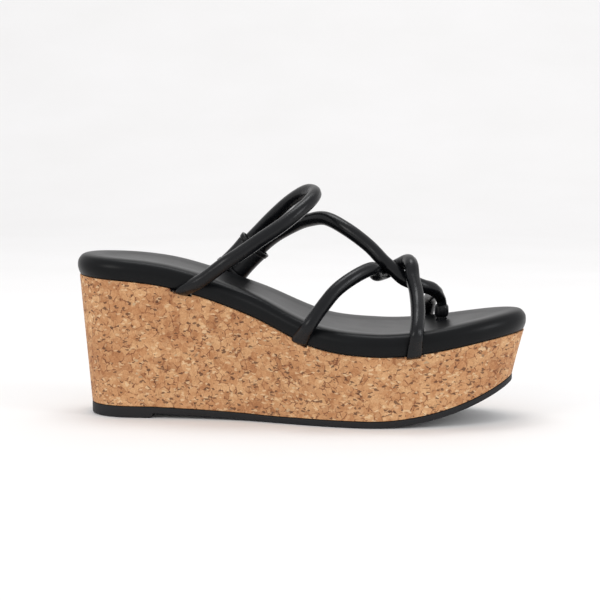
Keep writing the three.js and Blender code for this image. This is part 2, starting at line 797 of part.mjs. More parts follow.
const tackTop = boardBottom + TACK_BITE;
const tabBottom = -2 * TAB_HALF_THICKNESS;
const TACK_STEPS = [
  [TACK_HEAD_RADIUS, tabBottom - CLEARANCE - TACK_HEAD, tabBottom - CLEARANCE],
  [TACK_RADIUS, tabBottom - CLEARANCE, tackTop],
];
const shankTop = boardBottom - CLEARANCE;
const shankBottom = shankTop - SHANK_STEEL;
const RIVET_STEPS = [
  [RIVET_HEAD_RADIUS, shankBottom - CLEARANCE - RIVET_HEAD, shankBottom - CLEARANCE],
  [RIVET_RADIUS, shankBottom - CLEARANCE, boardTop + CLEARANCE],
  [RIVET_HEAD_RADIUS, boardTop + CLEARANCE, boardTop + CLEARANCE + RIVET_HEAD],
];

// A point on each tab, where its tack goes
const TACK_PLACES = Object.values(ANCHORS).map((anchor) => {
  const points = anchorPoints(anchor);
  const reach = (TAB_LENGTH - TACK_INSET) / (TAB_LENGTH / 2);
  return points[0].clone().lerp(points[1], reach);
});

function tackAt(place, grow = 0) {
  return seat(turned(TACK_STEPS, grow), place.x, place.y);
}

const RIVET_PLACES = [
  SHANK_START_AT * FOOTBED_LENGTH + RIVET_INSET,
  SHANK_END_AT * FOOTBED_LENGTH - RIVET_INSET,
];

function rivetAt(x, grow = 0) {
  return seat(turned(RIVET_STEPS, grow), x, centreLine(x / FOOTBED_LENGTH));
}

const tackRoom = TACK_PLACES.map((place) => tackAt(place, CUT_CLEARANCE));
const rivetRoom = RIVET_PLACES.map((x) => rivetAt(x, CUT_CLEARANCE));
const strapRooms = Object.values(STRAPS).map(strapRoom);

// ---------------------------------------------------------------- the wedge and the footbed

function outsole() {
  return stackedSolid([
    ring(OUTSOLE_EDGE_ROUND, outsoleBottom, 1),
    ring(0, (x) => outsoleBottom(x) + OUTSOLE_EDGE_ROUND, 1),
    ring(0, outsoleTop, 1),
  ]);
}

const wedgeBottom = (x) => outsoleTop(x) + CLEARANCE;

// A ring on the wedge's sloping wall: share 0 at the outsole, 1 at the joint line
function wedgeRing(share, inset) {
  const height = (x) => THREE.MathUtils.lerp(wedgeBottom(x), jointLine(x), share);
  return ring(inset, height, 1 - share);
}

// The strap tabs, tack heads, rivet heads and anchor plate are let into the core's top
function wedgeCore() {
  const inset = CORK_SHEET + CLEARANCE;
  const block = stackedSolid([wedgeRing(0, inset), wedgeRing(1, inset)]);
  const sunk = [shank(CUT_CLEARANCE), anchorPlate(CUT_CLEARANCE)];
  return cut(block, [...strapRooms, ...tackRoom, ...rivetRoom, ...sunk]);
}

function corkWrap() {
  const block = stackedSolid([wedgeRing(0, 0), wedgeRing(1, 0)]);
  const inside = stackedSolid([
    wedgeRing(-CUT_PAST_SHARE, CORK_SHEET),
    wedgeRing(1 + CUT_PAST_SHARE, CORK_SHEET),
  ]);
  return cut(block, [inside, ...strapRooms]);
}

function insoleBoard() {
  const board = stackedSolid([
    layerRing(BOARD_INSET, boardBottom),
    layerRing(BOARD_INSET, boardTop),
  ]);
  return cut(board, [...legRooms(), ...tackRoom, ...rivetRoom]);
}

function legRooms() {
  return [strapRoom(crossStrap), strapRoom(toeStrap)];
}

// Fills the hollow inside the cover's turned-in edge, round the shank
function lastingFiller() {
  const sheet = stackedSolid([
    layerRing(COVER_TURN_IN + CLEARANCE, lipBottom),
    layerRing(COVER_TURN_IN + CLEARANCE, lipTop),
  ]);
  return cut(sheet, [...strapRooms, ...tackRoom, shank(CUT_CLEARANCE)]);
}

// A spring-steel strip that follows the board's curve
function shankStrip(grow) {
  const from = SHANK_START_AT * FOOTBED_LENGTH - grow;
  const to = SHANK_END_AT * FOOTBED_LENGTH + grow;
  const between = STATIONS.filter((x) => x > from + 1 && x < to - 1);
  const halfWide = SHANK_WIDTH / 2 + grow;
  const rings = [from, ...between, to].map((x) => {
    const y = centreLine(x / FOOTBED_LENGTH);
    const low = jointLine(x) + shankBottom - grow;
    const high = jointLine(x) + shankTop + grow;
    return [
      new THREE.Vector3(x, y - halfWide, low),
      new THREE.Vector3(x, y + halfWide, low),
      new THREE.Vector3(x, y + halfWide, high),
      new THREE.Vector3(x, y - halfWide, high),
    ];
  });
  return sweptSolid(rings);
}

function shank(grow = 0) {
  return grow > 0 ? shankStrip(grow) : cut(shankStrip(0), rivetRoom);
}

// The footbed's outer shape as [inset, height] pairs, from its lower edge to its dished top
const FOOTBED_SIDE = [
  [COVER_LIP_INSET, lipBottom],
  ...SIDE_BULGE.map(([up, share]) => [-FOOTBED_BULGE * share, FOOTBED_DEPTH * up]),
  ...EDGE_SHAPE.map(([share, up]) => [FOOTBED_EDGE_ROUND * share, FOOTBED_DEPTH * up]),
  [FOOTBED_EDGE_ROUND * DISH_STARTS_AT, FOOTBED_DEPTH - FOOTBED_DISH],
];

// The same shape one leather thickness further in
function footbedInside(extra) {
  const half = FOOTBED_DEPTH / 2;
  return FOOTBED_SIDE.slice(1).map(([inset, height]) => {
    const topShare = THREE.MathUtils.clamp((height - half) / half, 0, 1);
    return [inset + COVER_LEATHER + extra, height - (COVER_LEATHER + extra) * topShare];
  });
}

function footbedCover() {
  const outside = FOOTBED_SIDE.map(([inset, height]) => layerRing(inset, height));
  const inside = footbedInside(0).map(([inset, height]) => layerRing(inset, height)).reverse();
  const turnIn = [
    layerRing(COVER_LEATHER + COVER_LIP_INSET, lipTop),
    layerRing(COVER_TURN_IN, lipTop),
    layerRing(COVER_TURN_IN, lipBottom),
  ];
  return cut(stackedSolid([...inside, ...turnIn, ...outside]), legRooms());
}

function footbedFoam() {
  const lowest = foamBottom + FOAM_LOWEST_RING;
  const above = footbedInside(FOAM_CLEARANCE).filter(([, height]) => height > lowest);
  const rings = above.map(([inset, height]) => layerRing(inset, Math.min(height, foamTop)));
  const base = layerRing(above[0][0], foamBottom);
  return cut(stackedSolid([base, ...rings]), [...legRooms(), ...rivetRoom]);
}

// ---------------------------------------------------------------- sleeve and toe post

// A rounded oblong, centred, with an optional hole
function oblong(halfX, halfY, radius) {
  const shape = new THREE.Shape();
  shape.moveTo(-halfX + radius, -halfY);
  shape.lineTo(halfX - radius, -halfY);
  shape.absarc(halfX - radius, -halfY + radius, radius, -Math.PI / 2, 0, false);
  shape.absarc(halfX - radius, halfY - radius, radius, 0, Math.PI / 2, false);
  shape.absarc(-halfX + radius, halfY - radius, radius, Math.PI / 2, Math.PI, false);
  shape.absarc(-halfX + radius, -halfY + radius, radius, Math.PI, Math.PI * 1.5, false);
  shape.closePath();
  return shape;
}

// A leather band of that outline, standing on z = 0
function band(halfX, halfY, radius, leather, height) {
  const outline = oblong(halfX + leather, halfY + leather, radius + leather);
  outline.holes.push(oblong(halfX, halfY, radius));
  const settings = { depth: height, bevelEnabled: false, curveSegments: 4 };
  return new THREE.ExtrudeGeometry(outline, settings);
}

// Turns a piece that stands on z = 0 so that it is centred on the sleeve and lies along it
function layInSleeve(geometry, length) {
  geometry.translate(0, 0, -length / 2);
  geometry.rotateY(Math.PI / 2 - SLEEVE_TILT);
  geometry.translate(sleeveCentre.x, sleeveCentre.y, sleeveCentre.z);
  return geometry;
}

const tubeReach = STRAP_DIAMETER / 2;

function strapSleeve() {
  const halfAcross = tubeOffset + tubeReach + CLEARANCE;
  const halfThrough = tubeReach + CLEARANCE;
  const round = halfThrough * SLEEVE_END_ROUNDNESS;
  const piece = band(halfAcross, halfThrough, round, SLEEVE_LEATHER, SLEEVE_LENGTH);
  return layInSleeve(piece, SLEEVE_LENGTH);
}

function sleeveElastic() {
  const wide = 2 * (tubeOffset + tubeReach - ELASTIC_INSET);
  const strip = new THREE.BoxGeometry(wide, ELASTIC_THICKNESS, ELASTIC_LENGTH);
  strip.translate(0, 0, ELASTIC_LENGTH / 2);
  return layInSleeve(strip, ELASTIC_LENGTH);
}

function toePostWrap() {
  const halfX = LEG_HALF_WIDTH + CLEARANCE;
  const halfY = 2 * LEG_HALF_THICKNESS + LEG_GAP / 2 + CLEARANCE;
  const piece = band(halfX, halfY, WRAP_CORNER, WRAP_LEATHER, WRAP_HEIGHT);
  const base = pointOver(POST_AT, POST_ACROSS, FOOTBED_DEPTH + WRAP_STAND_OFF);
  return piece.translate(base.x, base.y, base.z);
}

function anchorPlate(grow = 0) {
  const size = ANCHOR_PLATE + 2 * grow;
  const plate = new THREE.BoxGeometry(size, size, ANCHOR_PLATE_THICKNESS + 2 * grow);
  const top = LEG_FOOT - CLEARANCE * 2;
  return seat(plate, POST_AT * FOOTBED_LENGTH, POST_ACROSS, top - ANCHOR_PLATE_THICKNESS / 2);
}

// ---------------------------------------------------------------- assembly

const FINISHES = {
  rubber: { color: 0x34363c, roughness: 0.75, metalness: 0 },
  cork: { color: 0xc99f74, roughness: 0.85, metalness: 0 },
  foam: { color: 0xe4ddd0, roughness: 0.9, metalness: 0 },
  board: { color: 0x8a6f4e, roughness: 0.9, metalness: 0 },
  felt: { color: 0x9a958c, roughness: 1, metalness: 0 },
  leather: { color: 0x1d1e21, roughness: 0.5, metalness: 0 },
  footbedLeather: { color: 0x2b2c30, roughness: 0.6, metalness: 0 },
  cord: { color: 0xcfc8ba, roughness: 0.95, metalness: 0 },
  elastic: { color: 0x151517, roughness: 0.9, metalness: 0 },
  steel: { color: 0x9a9da3, roughness: 0.35, metalness: 1 },
};

const group = new THREE.Group();

function addPiece(name, geometry, finish) {
  const mesh = new THREE.Mesh(geometry, new THREE.MeshStandardMaterial(FINISHES[finish]));
  mesh.name = name;
  group.add(mesh);
}

addPiece('outsole', outsole(), 'rubber');
addPiece('wedge_core', wedgeCore(), 'foam');
addPiece('cork_wrap', corkWrap(), 'cork');
addPiece('lasting_filler', lastingFiller(), 'felt');
addPiece('shank', shank(), 'steel');
addPiece('insole_board', insoleBoard(), 'board');
RIVET_PLACES.forEach((x, i) => {
  addPiece(i === 0 ? 'shank_rivet_rear' : 'shank_rivet_front', rivetAt(x), 'steel');
});
addPiece('footbed_foam', footbedFoam(), 'foam');
addPiece('footbed_cover', footbedCover(), 'footbedLeather');

for (const [name, strap] of Object.entries(STRAPS)) {
  addPiece(name, cut(strapSkin(strap), tackRoom), 'leather');
  addPiece(`${name}_cord`, strapCord(strap), 'cord');
}

addPiece('strap_sleeve', strapSleeve(), 'leather');
addPiece('sleeve_elastic', sleeveElastic(), 'elastic');
addPiece('toe_post_wrap', toePostWrap(), 'leather');
addPiece('toe_post_anchor', anchorPlate(), 'board');
TACK_PLACES.forEach((place, i) => {
  addPiece(`strap_tack_${i + 1}`, tackAt(place), 'steel');
});

// Stands the sandal on the floor with the middle of its box over the origin
const box = new THREE.Box3().setFromObject(group);
const middle = box.getCenter(new THREE.Vector3());
group.position.set(-middle.x, -middle.y, -box.min.z);
group.updateMatrixWorld(true);

export default group;
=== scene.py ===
# Wedge sandal for the right foot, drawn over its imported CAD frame. Plans and heights are worked
# out in millimetres from the back of the heel and turned to metres when a mesh is made.
import bpy
import math
import numpy as np
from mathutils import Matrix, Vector


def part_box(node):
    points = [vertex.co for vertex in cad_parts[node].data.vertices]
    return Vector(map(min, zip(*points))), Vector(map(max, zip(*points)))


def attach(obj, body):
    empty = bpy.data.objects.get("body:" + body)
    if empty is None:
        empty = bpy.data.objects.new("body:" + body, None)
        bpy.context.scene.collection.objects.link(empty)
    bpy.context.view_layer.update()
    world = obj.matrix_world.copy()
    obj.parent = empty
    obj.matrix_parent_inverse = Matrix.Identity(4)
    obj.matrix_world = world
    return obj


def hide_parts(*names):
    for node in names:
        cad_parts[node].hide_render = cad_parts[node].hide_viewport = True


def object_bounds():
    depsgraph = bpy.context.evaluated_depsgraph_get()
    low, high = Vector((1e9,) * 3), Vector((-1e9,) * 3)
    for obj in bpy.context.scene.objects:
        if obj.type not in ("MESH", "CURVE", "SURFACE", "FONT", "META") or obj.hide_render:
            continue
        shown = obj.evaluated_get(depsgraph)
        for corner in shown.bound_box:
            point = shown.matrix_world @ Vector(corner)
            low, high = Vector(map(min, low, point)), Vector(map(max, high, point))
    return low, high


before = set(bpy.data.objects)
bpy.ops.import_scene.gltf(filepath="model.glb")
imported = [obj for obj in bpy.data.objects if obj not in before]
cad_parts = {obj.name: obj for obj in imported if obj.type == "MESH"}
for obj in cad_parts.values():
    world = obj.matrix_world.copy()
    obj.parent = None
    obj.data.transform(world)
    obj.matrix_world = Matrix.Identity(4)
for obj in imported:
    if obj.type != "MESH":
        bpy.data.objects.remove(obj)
size_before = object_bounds()

# ---- Camera ----------------------------------------------------------------------------------
# A long lens almost a metre away, about seven degrees above the sandal and a little towards its
# toe. It shows the outer side with next to no foreshortening.
CAMERA_AWAY = 0.985
CAMERA_TOWARDS_TOE = math.radians(6.5)
CAMERA_ABOVE = math.radians(6.6)
CAMERA_LENS = 107
CAMERA_SENSOR = 36

camera_data = bpy.data.cameras.new("camera")
camera_data.lens = CAMERA_LENS
camera_data.sensor_width = CAMERA_SENSOR
camera_data.dof.use_dof = False
camera = bpy.data.objects.new("camera", camera_data)
bpy.context.collection.objects.link(camera)
middle = (size_before[0] + size_before[1]) / 2
back = Vector((
    math.sin(CAMERA_TOWARDS_TOE) * math.cos(CAMERA_ABOVE),
    -math.cos(CAMERA_TOWARDS_TOE) * math.cos(CAMERA_ABOVE),
    math.sin(CAMERA_ABOVE),
))
camera.location = middle + back * CAMERA_AWAY
camera.rotation_mode = "QUATERNION"
camera.rotation_quaternion = (-back).to_track_quat("-Z", "Y")
bpy.context.scene.camera = camera

# ---- Floor and light -------------------------------------------------------------------------
# A pale sweep of studio paper under large soft lamps. The paper is seen through from below, so
# that the tread can be looked at from under the floor.


def linear(hex_colour):
    """A colour given as RRGGBB, turned from sRGB to linear."""
    channels = [int(hex_colour[i:i + 2], 16) / 255 for i in (0, 2, 4)]
    curve = [c / 12.92 if c <= 0.04045 else ((c + 0.055) / 1.055) ** 2.4 for c in channels]
    return (*curve, 1.0)


def add_node(tree, kind, settings=None, stops=(), **inputs):
    """Adds a shader node. An input is a value, or the socket of another node to link from."""
    made = tree.nodes.new(kind)
    for name, value in (settings or {}).items():
        setattr(made, name, value)
    for i, (at, colour) in enumerate(stops):
        stop = made.color_ramp.elements[i] if i < 2 else made.color_ramp.elements.new(at)
        stop.position = at
        stop.color = linear(colour)
    for name, value in inputs.items():
        socket = made.inputs[int(name[1:]) if name[1:].isdigit() else name.replace("_", " ")]
        if isinstance(value, bpy.types.NodeSocket):
            tree.links.new(value, socket)
        else:
            socket.default_value = value
    return made


def new_material(name):
    """An empty material, and its tree."""
    material = bpy.data.materials.new(name)
    material.use_nodes = True
    material.node_tree.nodes.clear()
    return material, material.node_tree


def cells_of(width_mm):
    """The scale of a pattern whose cells or waves are so many millimetres wide."""
    return 1000 / width_mm


FLOOR_HALF = 3.0
FLOOR_BELOW = 0.0002
SWEEP_STARTS = 1.25
SWEEP_RADIUS = 0.9
SWEEP_STEPS = 18
profile = [(-FLOOR_HALF, 0.0)]
for step in range(SWEEP_STEPS + 1):
    turn = math.pi / 2 * step / SWEEP_STEPS
    profile.append((SWEEP_STARTS + SWEEP_RADIUS * math.sin(turn), SWEEP_RADIUS * (1 - math.cos(turn))))
profile.append((SWEEP_STARTS + SWEEP_RADIUS, FLOOR_HALF))
floor_mesh = bpy.data.meshes.new("paper_sweep")
corners = [(side * FLOOR_HALF, y, z) for y, z in profile for side in (-1, 1)]
strips = [(2 * i, 2 * i + 1, 2 * i + 3, 2 * i + 2) for i in range(len(profile) - 1)]
floor_mesh.from_pydata(corners, [], strips)
floor_mesh.shade_smooth()
floor = bpy.data.objects.new("paper_sweep", floor_mesh)
floor.location = (0, 0, -FLOOR_BELOW)
floor.visible_shadow = False
floor.visible_diffuse = False
bpy.context.collection.objects.link(floor)

# Matt white paper, very faintly cloudy. The clouds are 150 mm wide, counted along the sweep
paper, tree = new_material("studio_paper")
grain = add_node(tree, "ShaderNodeTexNoise", Scale=2 * FLOOR_HALF * cells_of(150), Detail=3.0)
shade = add_node(tree, "ShaderNodeMixRGB", _0=grain.outputs["Fac"], _1=linear("EDECEA"), _2=linear("F3F2F1"))
surface = add_node(tree, "ShaderNodeBsdfPrincipled", Base_Color=shade.outputs[0], Roughness=0.85)
clear = add_node(tree, "ShaderNodeBsdfTransparent")
facing = add_node(tree, "ShaderNodeNewGeometry")
seen = add_node(tree, "ShaderNodeMixShader", _0=facing.outputs["Backfacing"],
                _1=surface.outputs[0], _2=clear.outputs[0])
add_node(tree, "ShaderNodeOutputMaterial", Surface=seen.outputs[0])
floor_mesh.materials.append(paper)

ROOM_GLOW = 0.86
world = bpy.data.worlds.new("studio")
world.use_nodes = True
world.node_tree.nodes["Background"].inputs["Color"].default_value = linear("FBFBFD")
world.node_tree.nodes["Background"].inputs["Strength"].default_value = ROOM_GLOW
bpy.context.scene.world = world
bpy.context.scene.view_settings.view_transform = "Standard"


def soft_lamp(name, place, aim, size, watts, colour):
    """A rectangular soft box that faces its aim."""
    data = bpy.data.lights.new(name, "AREA")
    data.shape = "RECTANGLE"
    data.size, data.size_y = size
    data.energy = watts
    data.color = linear(colour)[:3]
    lamp = bpy.data.objects.new(name, data)
    bpy.context.collection.objects.link(lamp)
    lamp.location = place
    lamp.rotation_mode = "QUATERNION"
    lamp.rotation_quaternion = (Vector(aim) - Vector(place)).to_track_quat("-Z", "Y")


soft_lamp("overhead_box", (-0.05, 0.2, 1.2), (0, 0, 0.03), (0.5, 0.35), 3.2, "FDFEFF")
soft_lamp("front_left_box", (-0.8, -1.0, 0.75), (0, 0, 0.06), (0.45, 0.5), 3.6, "FFFDFA")
soft_lamp("front_right_box", (1.15, -0.45, 0.55), (0.06, 0, 0.04), (0.3, 0.6), 3.6, "FAFCFF")
soft_lamp("backdrop_box", (0, 0.9, 2.1), (0, 2.2, 0.9), (2.4, 0.6), 9.5, "FFFFFF")

# ---- Outsole ---------------------------------------------------------------------------------
# Thin black rubber sole, with a heel lift moulded in one piece with it and an eased edge. It was
# pressed in a mould and glued under the wedge, whose outline it follows from heel to toe.
FOOTBED_LENGTH = 246
BULGE = 1
BALL_AT = 0.67
CLEARANCE = 0.3
OUTSOLE_THICKNESS = 3.4
LIFT_LENGTH = 44
LIFT_STEP = 2.6
LIFT_STEP_RUN = 1.2
HEEL_ROUND = 32
HEEL_FULLNESS = 2.2
TOE_ROUND = 78
WAIST_MEETS_FLOOR = 0.45 * FOOTBED_LENGTH
TOE_SPRING = 25
TAPER_AT_ENDS = 6.2
TAPER_AT_SIDES = 3.5
STATIONS = 190
STATION_GAP = 0.12
CLEAR_OF_STEP = 0.9
BEYOND_TOE = 5


def smooth_curve(points):
    """A smooth curve through [position, value] points, as a function of position."""
    at = np.array([p[0] for p in points], float)
    value = np.array([p[1] for p in points], float)
    run = np.diff(at)
    rise = np.diff(value) / run
    slope = np.empty(len(at))
    slope[0] = rise[0]
    slope[-1] = rise[-1]
    slope[1:-1] = (rise[:-1] * run[1:] + rise[1:] * run[:-1]) / (run[:-1] + run[1:])

    def curve(x):
        i = np.clip(np.searchsorted(at, x) - 1, 0, len(run) - 1)
        t = (x - at[i]) / run[i]
        fade = t * t * (3 - 2 * t)
        bend_in = t * (1 - t) ** 2 * run[i] * slope[i]
        bend_out = t * t * (t - 1) * run[i] * slope[i + 1]
        return value[i] * (1 - fade) + value[i + 1] * fade + bend_in + bend_out
    return curve


# Half width before the tips are rounded, middle line and joint line, by share of the length
width_before_rounding = smooth_curve([[0, 28.5], [0.14, 28.5], [0.36, 27],
                                      [BALL_AT, 43.5], [0.8, 43.5], [1, 43.5]])
centre_at = smooth_curve([[0, 0], [0.14, 0.5], [0.515, -4.5], [0.8, 0], [1, 2]])
joint_at = smooth_curve([[0, 77.5], [0.22, 72], [0.4, 58.4], [0.565, 41.6], [BALL_AT, 38.5], [1, 49]])


def half_width(x):
    """Half the footbed's width, rounded off at the heel and toe."""
    x = np.asarray(x, float)
    heel = (1 - np.clip(1 - x / HEEL_ROUND, 0, 1) ** HEEL_FULLNESS) ** (1 / HEEL_FULLNESS)
    toe = np.sqrt(1 - np.clip(1 - (FOOTBED_LENGTH - x) / TOE_ROUND, 0, 1) ** 2)
    return width_before_rounding(x / FOOTBED_LENGTH) * heel * toe


def centre_line(x):
    return centre_at(np.asarray(x, float) / FOOTBED_LENGTH)


def joint_line(x):
    """Height of the line where the cork wall meets the footbed."""
    return joint_at(np.asarray(x, float) / FOOTBED_LENGTH)


def sole_lift(x):
    """How far the sole's face stands off the floor, heel lift apart."""
    x = np.asarray(x, float)
    run = FOOTBED_LENGTH * (1 - BALL_AT)
    radius = (run * run + TOE_SPRING ** 2) / (2 * TOE_SPRING)
    past = np.clip(x - FOOTBED_LENGTH * BALL_AT, 0, run + BEYOND_TOE)
    waist = LIFT_STEP * np.clip((WAIST_MEETS_FLOOR - x) / (WAIST_MEETS_FLOOR - LIFT_LENGTH), 0, 1)
    return waist + radius - np.sqrt(radius * radius - past * past)


def sole_bottom(x):
    return np.where(np.asarray(x, float) < LIFT_LENGTH, 0, sole_lift(x))


def sole_top(x):
    return OUTSOLE_THICKNESS + sole_lift(x)


def fine_stations(extra=()):
    """Places along the length, closer together at the tips, with a pair either side of the lift."""
    even = FOOTBED_LENGTH * (1 - np.cos(math.pi * np.arange(STATIONS + 1) / STATIONS)) / 2
    clear = [x for x in even if abs(x - LIFT_LENGTH) > CLEAR_OF_STEP]
    kept = [x for x in clear if all(abs(x - e) > STATION_GAP for e in extra)]
    step = [LIFT_LENGTH - LIFT_STEP_RUN / 2, LIFT_LENGTH + LIFT_STEP_RUN / 2]
    return np.array(sorted(kept + step + list(extra)))


def outline(stations):
    """Plan points from the heel along the outer side to the toe and back, and their normals."""
    outer = np.stack([stations, centre_line(stations) - half_width(stations)], 1)
    inner = np.stack([stations, centre_line(stations) + half_width(stations)], 1)[1:-1][::-1]
    points = np.concatenate([outer, inner])
    along = np.roll(points, -1, 0) - np.roll(points, 1, 0)
    normals = np.stack([along[:, 1], -along[:, 0]], 1)
    return points, normals / np.linalg.norm(normals, axis=1, keepdims=True)


PLAN, PLAN_NORMALS = outline(fine_stations())


def ring(inset, height_at, taper_share=0, plan=None):
    """A closed ring set in from the footbed's outline, with heights taken where it ends up."""
    points, normals = plan or (PLAN, PLAN_NORMALS)
    taper = TAPER_AT_SIDES + (TAPER_AT_ENDS - TAPER_AT_SIDES) * np.abs(normals[:, 0])
    moved = points - normals * (np.asarray(inset, float) + taper * taper_share).reshape(-1, 1)
    return np.column_stack([moved, height_at(moved[:, 0])])


def wall_faces(ring_count, sides, closed=False):
    """Faces between rings of the same number of points; closed joins the last ring to the first."""
    faces = []
    for k in range(ring_count if closed else ring_count - 1):
        low = k * sides
        high = (k + 1) % ring_count * sides
        for i in range(sides):
            j = (i + 1) % sides
            faces.append((low + i, low + j, high + j, high + i))
    return faces


def strip_cap(first, sides, faces_up):
    """Closes an outline ring with strips from side to side."""
    half = sides // 2
    faces = []
    for i in range(half):
        strip = [first + i, first + i + 1, first + sides - i - 1, first + (sides - i) % sides]
        kept = list(dict.fromkeys(strip))
        faces.append(tuple(kept if faces_up else kept[::-1]))
    return faces


def stacked(rings):
    """Points and faces of a solid made of rings from the bottom up."""
    sides = len(rings[0])
    faces = wall_faces(len(rings), sides) + strip_cap(0, sides, False)
    return np.concatenate(rings), faces + strip_cap((len(rings) - 1) * sides, sides, True)


# Where the heel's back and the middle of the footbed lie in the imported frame
cover_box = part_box("footbed_cover")
bulged = PLAN[:, 1] + PLAN_NORMALS[:, 1] * BULGE
SHIFT = np.array([
    cover_box[0].x * 1000 + BULGE,
    (cover_box[0].y + cover_box[1].y) * 500 - (bulged.min() + bulged.max()) / 2,
    0,
])


def add_piece(name, points, faces, material, slot, crease=32):
    """Makes a mesh piece of the sandal, from millimetres, and sets it on the frame."""
    mesh = bpy.data.meshes.new(name)
    mesh.from_pydata(((np.asarray(points) + SHIFT) / 1000).tolist(), [], faces)
    mesh.materials.append(material)
    mesh.shade_smooth()
    mesh.set_sharp_from_angle(angle=math.radians(crease))
    piece = bpy.data.objects.new(name, mesh)
    bpy.context.collection.objects.link(piece)
    if slot:
        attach(piece, "root")
    return piece


# Dull black rubber: dusty grey in the light, with the dry bloom that new rubber soles have
rubber, tree = new_material("moulded_rubber")
place = add_node(tree, "ShaderNodeTexCoord").outputs["Object"]
bloom = add_node(tree, "ShaderNodeTexNoise", Vector=place, Scale=cells_of(11.1), Detail=5.0)
tone = add_node(tree, "ShaderNodeMixRGB", _0=bloom.outputs["Fac"], _1=linear("131315"), _2=linear("212123"))
rough = add_node(tree, "ShaderNodeMapRange", Value=bloom.outputs["Fac"], To_Min=0.5, To_Max=0.72)
pits = add_node(tree, "ShaderNodeTexNoise", Vector=place, Scale=cells_of(0.455), Detail=2.0)
dents = add_node(tree, "ShaderNodeBump", Height=pits.outputs["Fac"], Strength=0.12, Distance=0.0001)
surface = add_node(tree, "ShaderNodeBsdfPrincipled", Base_Color=tone.outputs[0],
                   Roughness=rough.outputs[0], Specular_IOR_Level=0.32, Normal=dents.outputs[0])
add_node(tree, "ShaderNodeOutputMaterial", Surface=surface.outputs[0])

RIM = 3.6
EDGE = 0.7
EDGE_EASE = 0.3 * EDGE
TOP_EDGE_IN = 0.25
TOP_EDGE_DOWN = 0.3
OUTSOLE_CREASE = 40
outsole_points, outsole_faces = stacked([
    ring(RIM + EDGE, sole_bottom, 1),
    ring(EDGE, sole_bottom, 1),
    ring(EDGE_EASE, lambda x: sole_bottom(x) + EDGE_EASE, 1),
    ring(0, lambda x: sole_bottom(x) + EDGE, 1),
    ring(0, lambda x: sole_top(x) - TOP_EDGE_DOWN, 1),
    ring(TOP_EDGE_IN, sole_top, 1),
])
outsole = add_piece("rubber_outsole", outsole_points, outsole_faces, rubber, None, OUTSOLE_CREASE)

# ---- Tread grooves ---------------------------------------------------------------------------
# Fine grooves in bands across the rubber's face, inside a smooth rim, made by ridges in the mould:
# lines, slanted strokes, arrowheads, zigzags, waves, keys and woven blocks. The waist stays plain.
GROOVE_WIDE = 0.95
GROOVE_DEEP = 0.8
FACE_MARGIN = 0.3
LINE_POINTS = 12
SWING_POINTS = 12
KEY_STEEPNESS = 9
tread_paths = []


def tread_reach(x):
    """How far the grooved face reaches each side of the centre line at x."""
    ahead = half_width(np.asarray(x, float) + 0.5) - half_width(np.asarray(x, float) - 0.5)
    lean = np.sqrt(1 + ahead ** 2)
    nose = TAPER_AT_SIDES + (TAPER_AT_ENDS - TAPER_AT_SIDES) * np.abs(ahead) / lean
    return half_width(x) - (nose + RIM + EDGE + FACE_MARGIN) * lean


def on_face(x, share):
    """A plan point at x, at a share of the reach from the outer side, 0, to the inner side, 1."""
    return (x, float(centre_line(x) + (2 * share - 1) * tread_reach(x)))


def straight_line(x):
    """A groove straight across at x."""
    tread_paths.append([on_face(x, s) for s in np.linspace(0, 1, LINE_POINTS)])


def across_band(x, height, period, shape, phase=0.0):
    """A groove that crosses the face from side to side and swings by height about x."""
    reach = float(tread_reach(x))
    steps = max(4, int(round(2 * reach / period * SWING_POINTS)))
    path = []
    for i in range(steps + 1):
        share = i / steps
        turn = (share * 2 * reach / period + phase) % 1
        path.append(on_face(x + height * shape(turn), share))
    tread_paths.append(path)


def zigzag_shape(turn):
    return 1 - abs(4 * ((turn + 0.25) % 1) - 2)


def wave_shape(turn):
    return math.sin(2 * math.pi * turn)


def key_shape(turn):
    """A square wave whose sides slope a little."""
    return max(-1.0, min(1.0, KEY_STEEPNESS * math.sin(2 * math.pi * turn)))


def rows_across(x, spacing):
    """Evenly spaced plan positions from side to side at x."""
    reach = float(tread_reach(x))
    count = max(2, round(2 * reach / spacing))
    middle_y = float(centre_line(x))
    return [middle_y - reach + (i + 0.5) * 2 * reach / count for i in range(count)]


BLOCK_STROKES = 5
BLOCK_LEAN = 1.5
BLOCK_GAP = 0.2


def woven_band(low, high, block):
    """Blocks of slanted strokes, each leaning against its neighbour."""
    middle_x = (low + high) / 2
    for i, y in enumerate(rows_across(middle_x, block)):
        lean = 1 if i % 2 else -1
        for step in range(BLOCK_STROKES):
            middle_y = y + (step - BLOCK_STROKES // 2) * block / (BLOCK_STROKES + BLOCK_GAP)
            tread_paths.append([(low, middle_y - lean * BLOCK_LEAN), (high, middle_y + lean * BLOCK_LEAN)])


STROKE_SLANT = 0.8
STROKE_HOOK_LONG = 1.2
STROKE_HOOK_OUT = 3.2


def slanted_strokes(x, length, spacing):
    """Strokes that run towards the toe, hooked at both ends."""
    near, far = x - length / 2, x + length / 2
    for y in rows_across(x, spacing):
        tread_paths.append([
            (near, y - STROKE_HOOK_OUT), (near + STROKE_HOOK_LONG, y - STROKE_SLANT),
            (far - STROKE_HOOK_LONG, y + STROKE_SLANT), (far, y + STROKE_HOOK_OUT)])


ARROW_STEP = 3.2
ARROW_LONG = 0.6
ARROWS_AHEAD = 4


def arrowheads(x, size, spacing):
    """Groups of three arrowheads side by side."""
    for y in rows_across(x, spacing):
        for step in range(3):
            nose = x + ARROWS_AHEAD - step * ARROW_STEP
            tail = nose - size * ARROW_LONG
            tread_paths.append([(tail, y - size), (nose, y), (tail, y + size)])


